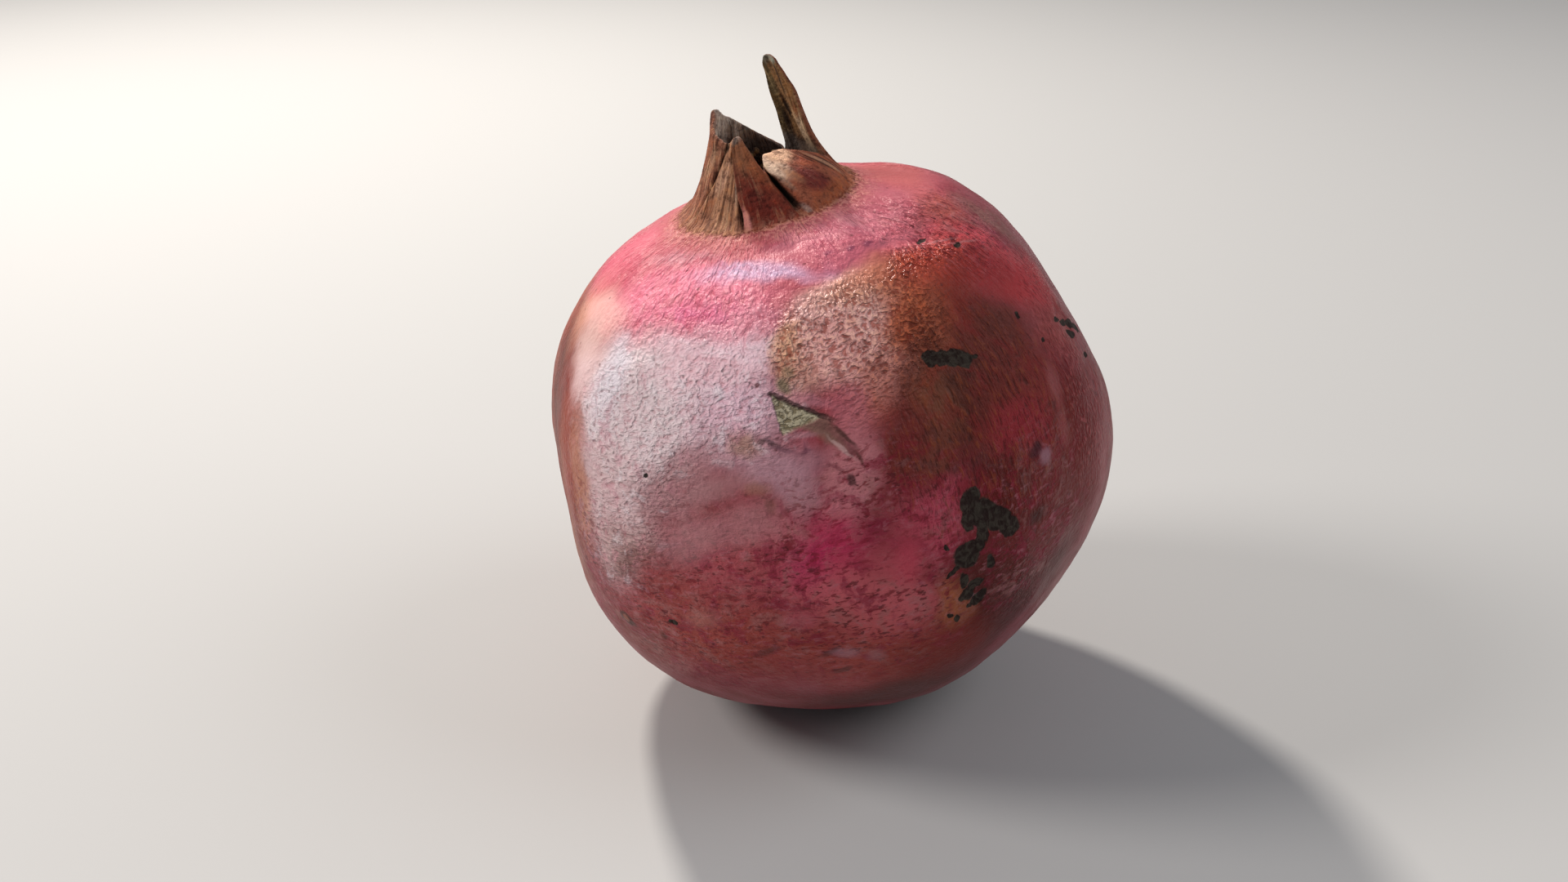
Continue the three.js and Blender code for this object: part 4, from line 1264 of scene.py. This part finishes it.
    rough = rindFinish["roughness"] + (cloud - 0.5) * rindFinish["cloudRoughness"]
    rough = rough - masks["russet"] * rindFinish["russetGloss"]
    rough = rough + scab * rindFinish["scabRoughness"] + plate * scar["plateRoughness"]
    rough = rough * skinMask + crownMask * crownFinish["roughness"]

    shader = finish.shader.inputs
    finish.plug(shader["Base Color"], paint)
    finish.plug(shader["Roughness"], rough)
    finish.plug(shader["Coat Weight"], masks["bloom"] * rindFinish["coat"])
    shader["Coat Roughness"].default_value = rindFinish["coatRoughness"]
    shader["Specular IOR Level"].default_value = rindFinish["specular"]
    shader["Specular Tint"].default_value = (*toColour(rindFinish["sheen"]), 1)
    return finish.material


# The stamens' finish.
stamenFinish = {
    "dark": "5c4030",
    "pale": "a07c50",
    "spotSize": 0.9,
    "roughness": 0.85,
    "relief": 0.06,
    "reliefSize": 0.3,
}


def makeStamenFinish():
    finish = Finish("dry stamens")
    at = finish.node("TexCoord", {}, {}, "Object")
    spots = finish.fade(finish.noise(at, stamenFinish["spotSize"]), 0.4, 0.6)
    paint = finish.mix(spots, stamenFinish["dark"], stamenFinish["pale"])
    finish.plug(finish.shader.inputs["Base Color"], paint)
    finish.bump(finish.noise(at, stamenFinish["reliefSize"]) * stamenFinish["relief"])
    finish.shader.inputs["Roughness"].default_value = stamenFinish["roughness"]
    return finish.material


print("building the rind")
skin = makeRind(makeRindFinish())
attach(skin, "root")
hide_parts("pomegranate")
print("building the stamens")
threads = makeStamens(makeStamenFinish())
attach(threads, "root")

# The floor and the lights.
studio = {
    "floorSize": 6.0,
    "floorColour": "b8b6b4",
    "floorRoughness": 0.8,
    "world": (0.80, 0.84, 0.92),
    "worldStrength": 0.24,
    # each light: where it stands from the fruit's middle, its size in metres, its power and colour
    "lights": [
        {"name": "key", "towards": (-0.38, 0.66, 0.65), "away": 0.9, "size": 0.09, "power": 8.0,
         "colour": (1.0, 0.95, 0.88)},
        {"name": "side", "towards": (-0.80, -0.10, 0.59), "away": 1.0, "size": 0.35, "power": 6.2,
         "colour": (1.0, 0.97, 0.94)},
        {"name": "fill", "towards": (0.75, -0.10, 0.65), "away": 1.3, "size": 1.0, "power": 6.0,
         "colour": (0.94, 0.96, 1.0)},
    ],
}
fruitMiddle = Vector((0, 0, middleHeight)) * mm


def makeFloor():
    bm = bmesh.new()
    bmesh.ops.create_grid(bm, x_segments=1, y_segments=1, size=studio["floorSize"] / 2)
    finish = Finish("floor")
    finish.shader.inputs["Base Color"].default_value = (*toColour(studio["floorColour"]), 1)
    finish.shader.inputs["Roughness"].default_value = studio["floorRoughness"]
    floor = finishMesh(bm, "floor", finish.material)


def makeLights():
    for light in studio["lights"]:
        lamp = bpy.data.lights.new(light["name"], "AREA")
        lamp.shape = "DISK"
        lamp.size = light["size"]
        lamp.energy = light["power"]
        lamp.color = light["colour"]
        holder = bpy.data.objects.new(light["name"], lamp)
        towards = Vector(light["towards"]).normalized()
        holder.location = fruitMiddle + towards * light["away"]
        holder.rotation_euler = (-towards).to_track_quat("-Z", "Y").to_euler()
        bpy.context.scene.collection.objects.link(holder)
    world = bpy.data.worlds.new("studio")
    world.use_nodes = True
    background = world.node_tree.nodes["Background"]
    background.inputs["Color"].default_value = (*studio["world"], 1)
    background.inputs["Strength"].default_value = studio["worldStrength"]
    bpy.context.scene.world = world


view = {
    "elevation": 24,         # how far the camera looks down
    "away": 0.2554,          # metres from the fruit's middle
    "fieldOfView": 30,       # upright, degrees
    "frame": (1920, 1080),
    "aim": (1015, 533),      # where the fruit's middle lies in the frame
    "sensor": 36,
}


def makeCamera():
    width, height = view["frame"]
    elevation = math.radians(view["elevation"])
    back = Vector((0, -math.cos(elevation), math.sin(elevation)))
    camera = bpy.data.cameras.new("camera")
    camera.sensor_width = view["sensor"]
    camera.lens = view["sensor"] / 2 / (math.tan(math.radians(view["fieldOfView"] / 2)) * width / height)
    camera.shift_x = (width / 2 - view["aim"][0]) / width
    camera.shift_y = (view["aim"][1] - height / 2) / width
    camera.clip_start = 0.01
    holder = bpy.data.objects.new("camera", camera)
    holder.location = fruitMiddle + back * view["away"]
    holder.rotation_euler = (-back).to_track_quat("-Z", "Y").to_euler()
    bpy.context.scene.collection.objects.link(holder)
    bpy.context.scene.camera = holder


print("setting the studio")
makeFloor()
makeLights()
makeCamera()

print("done")
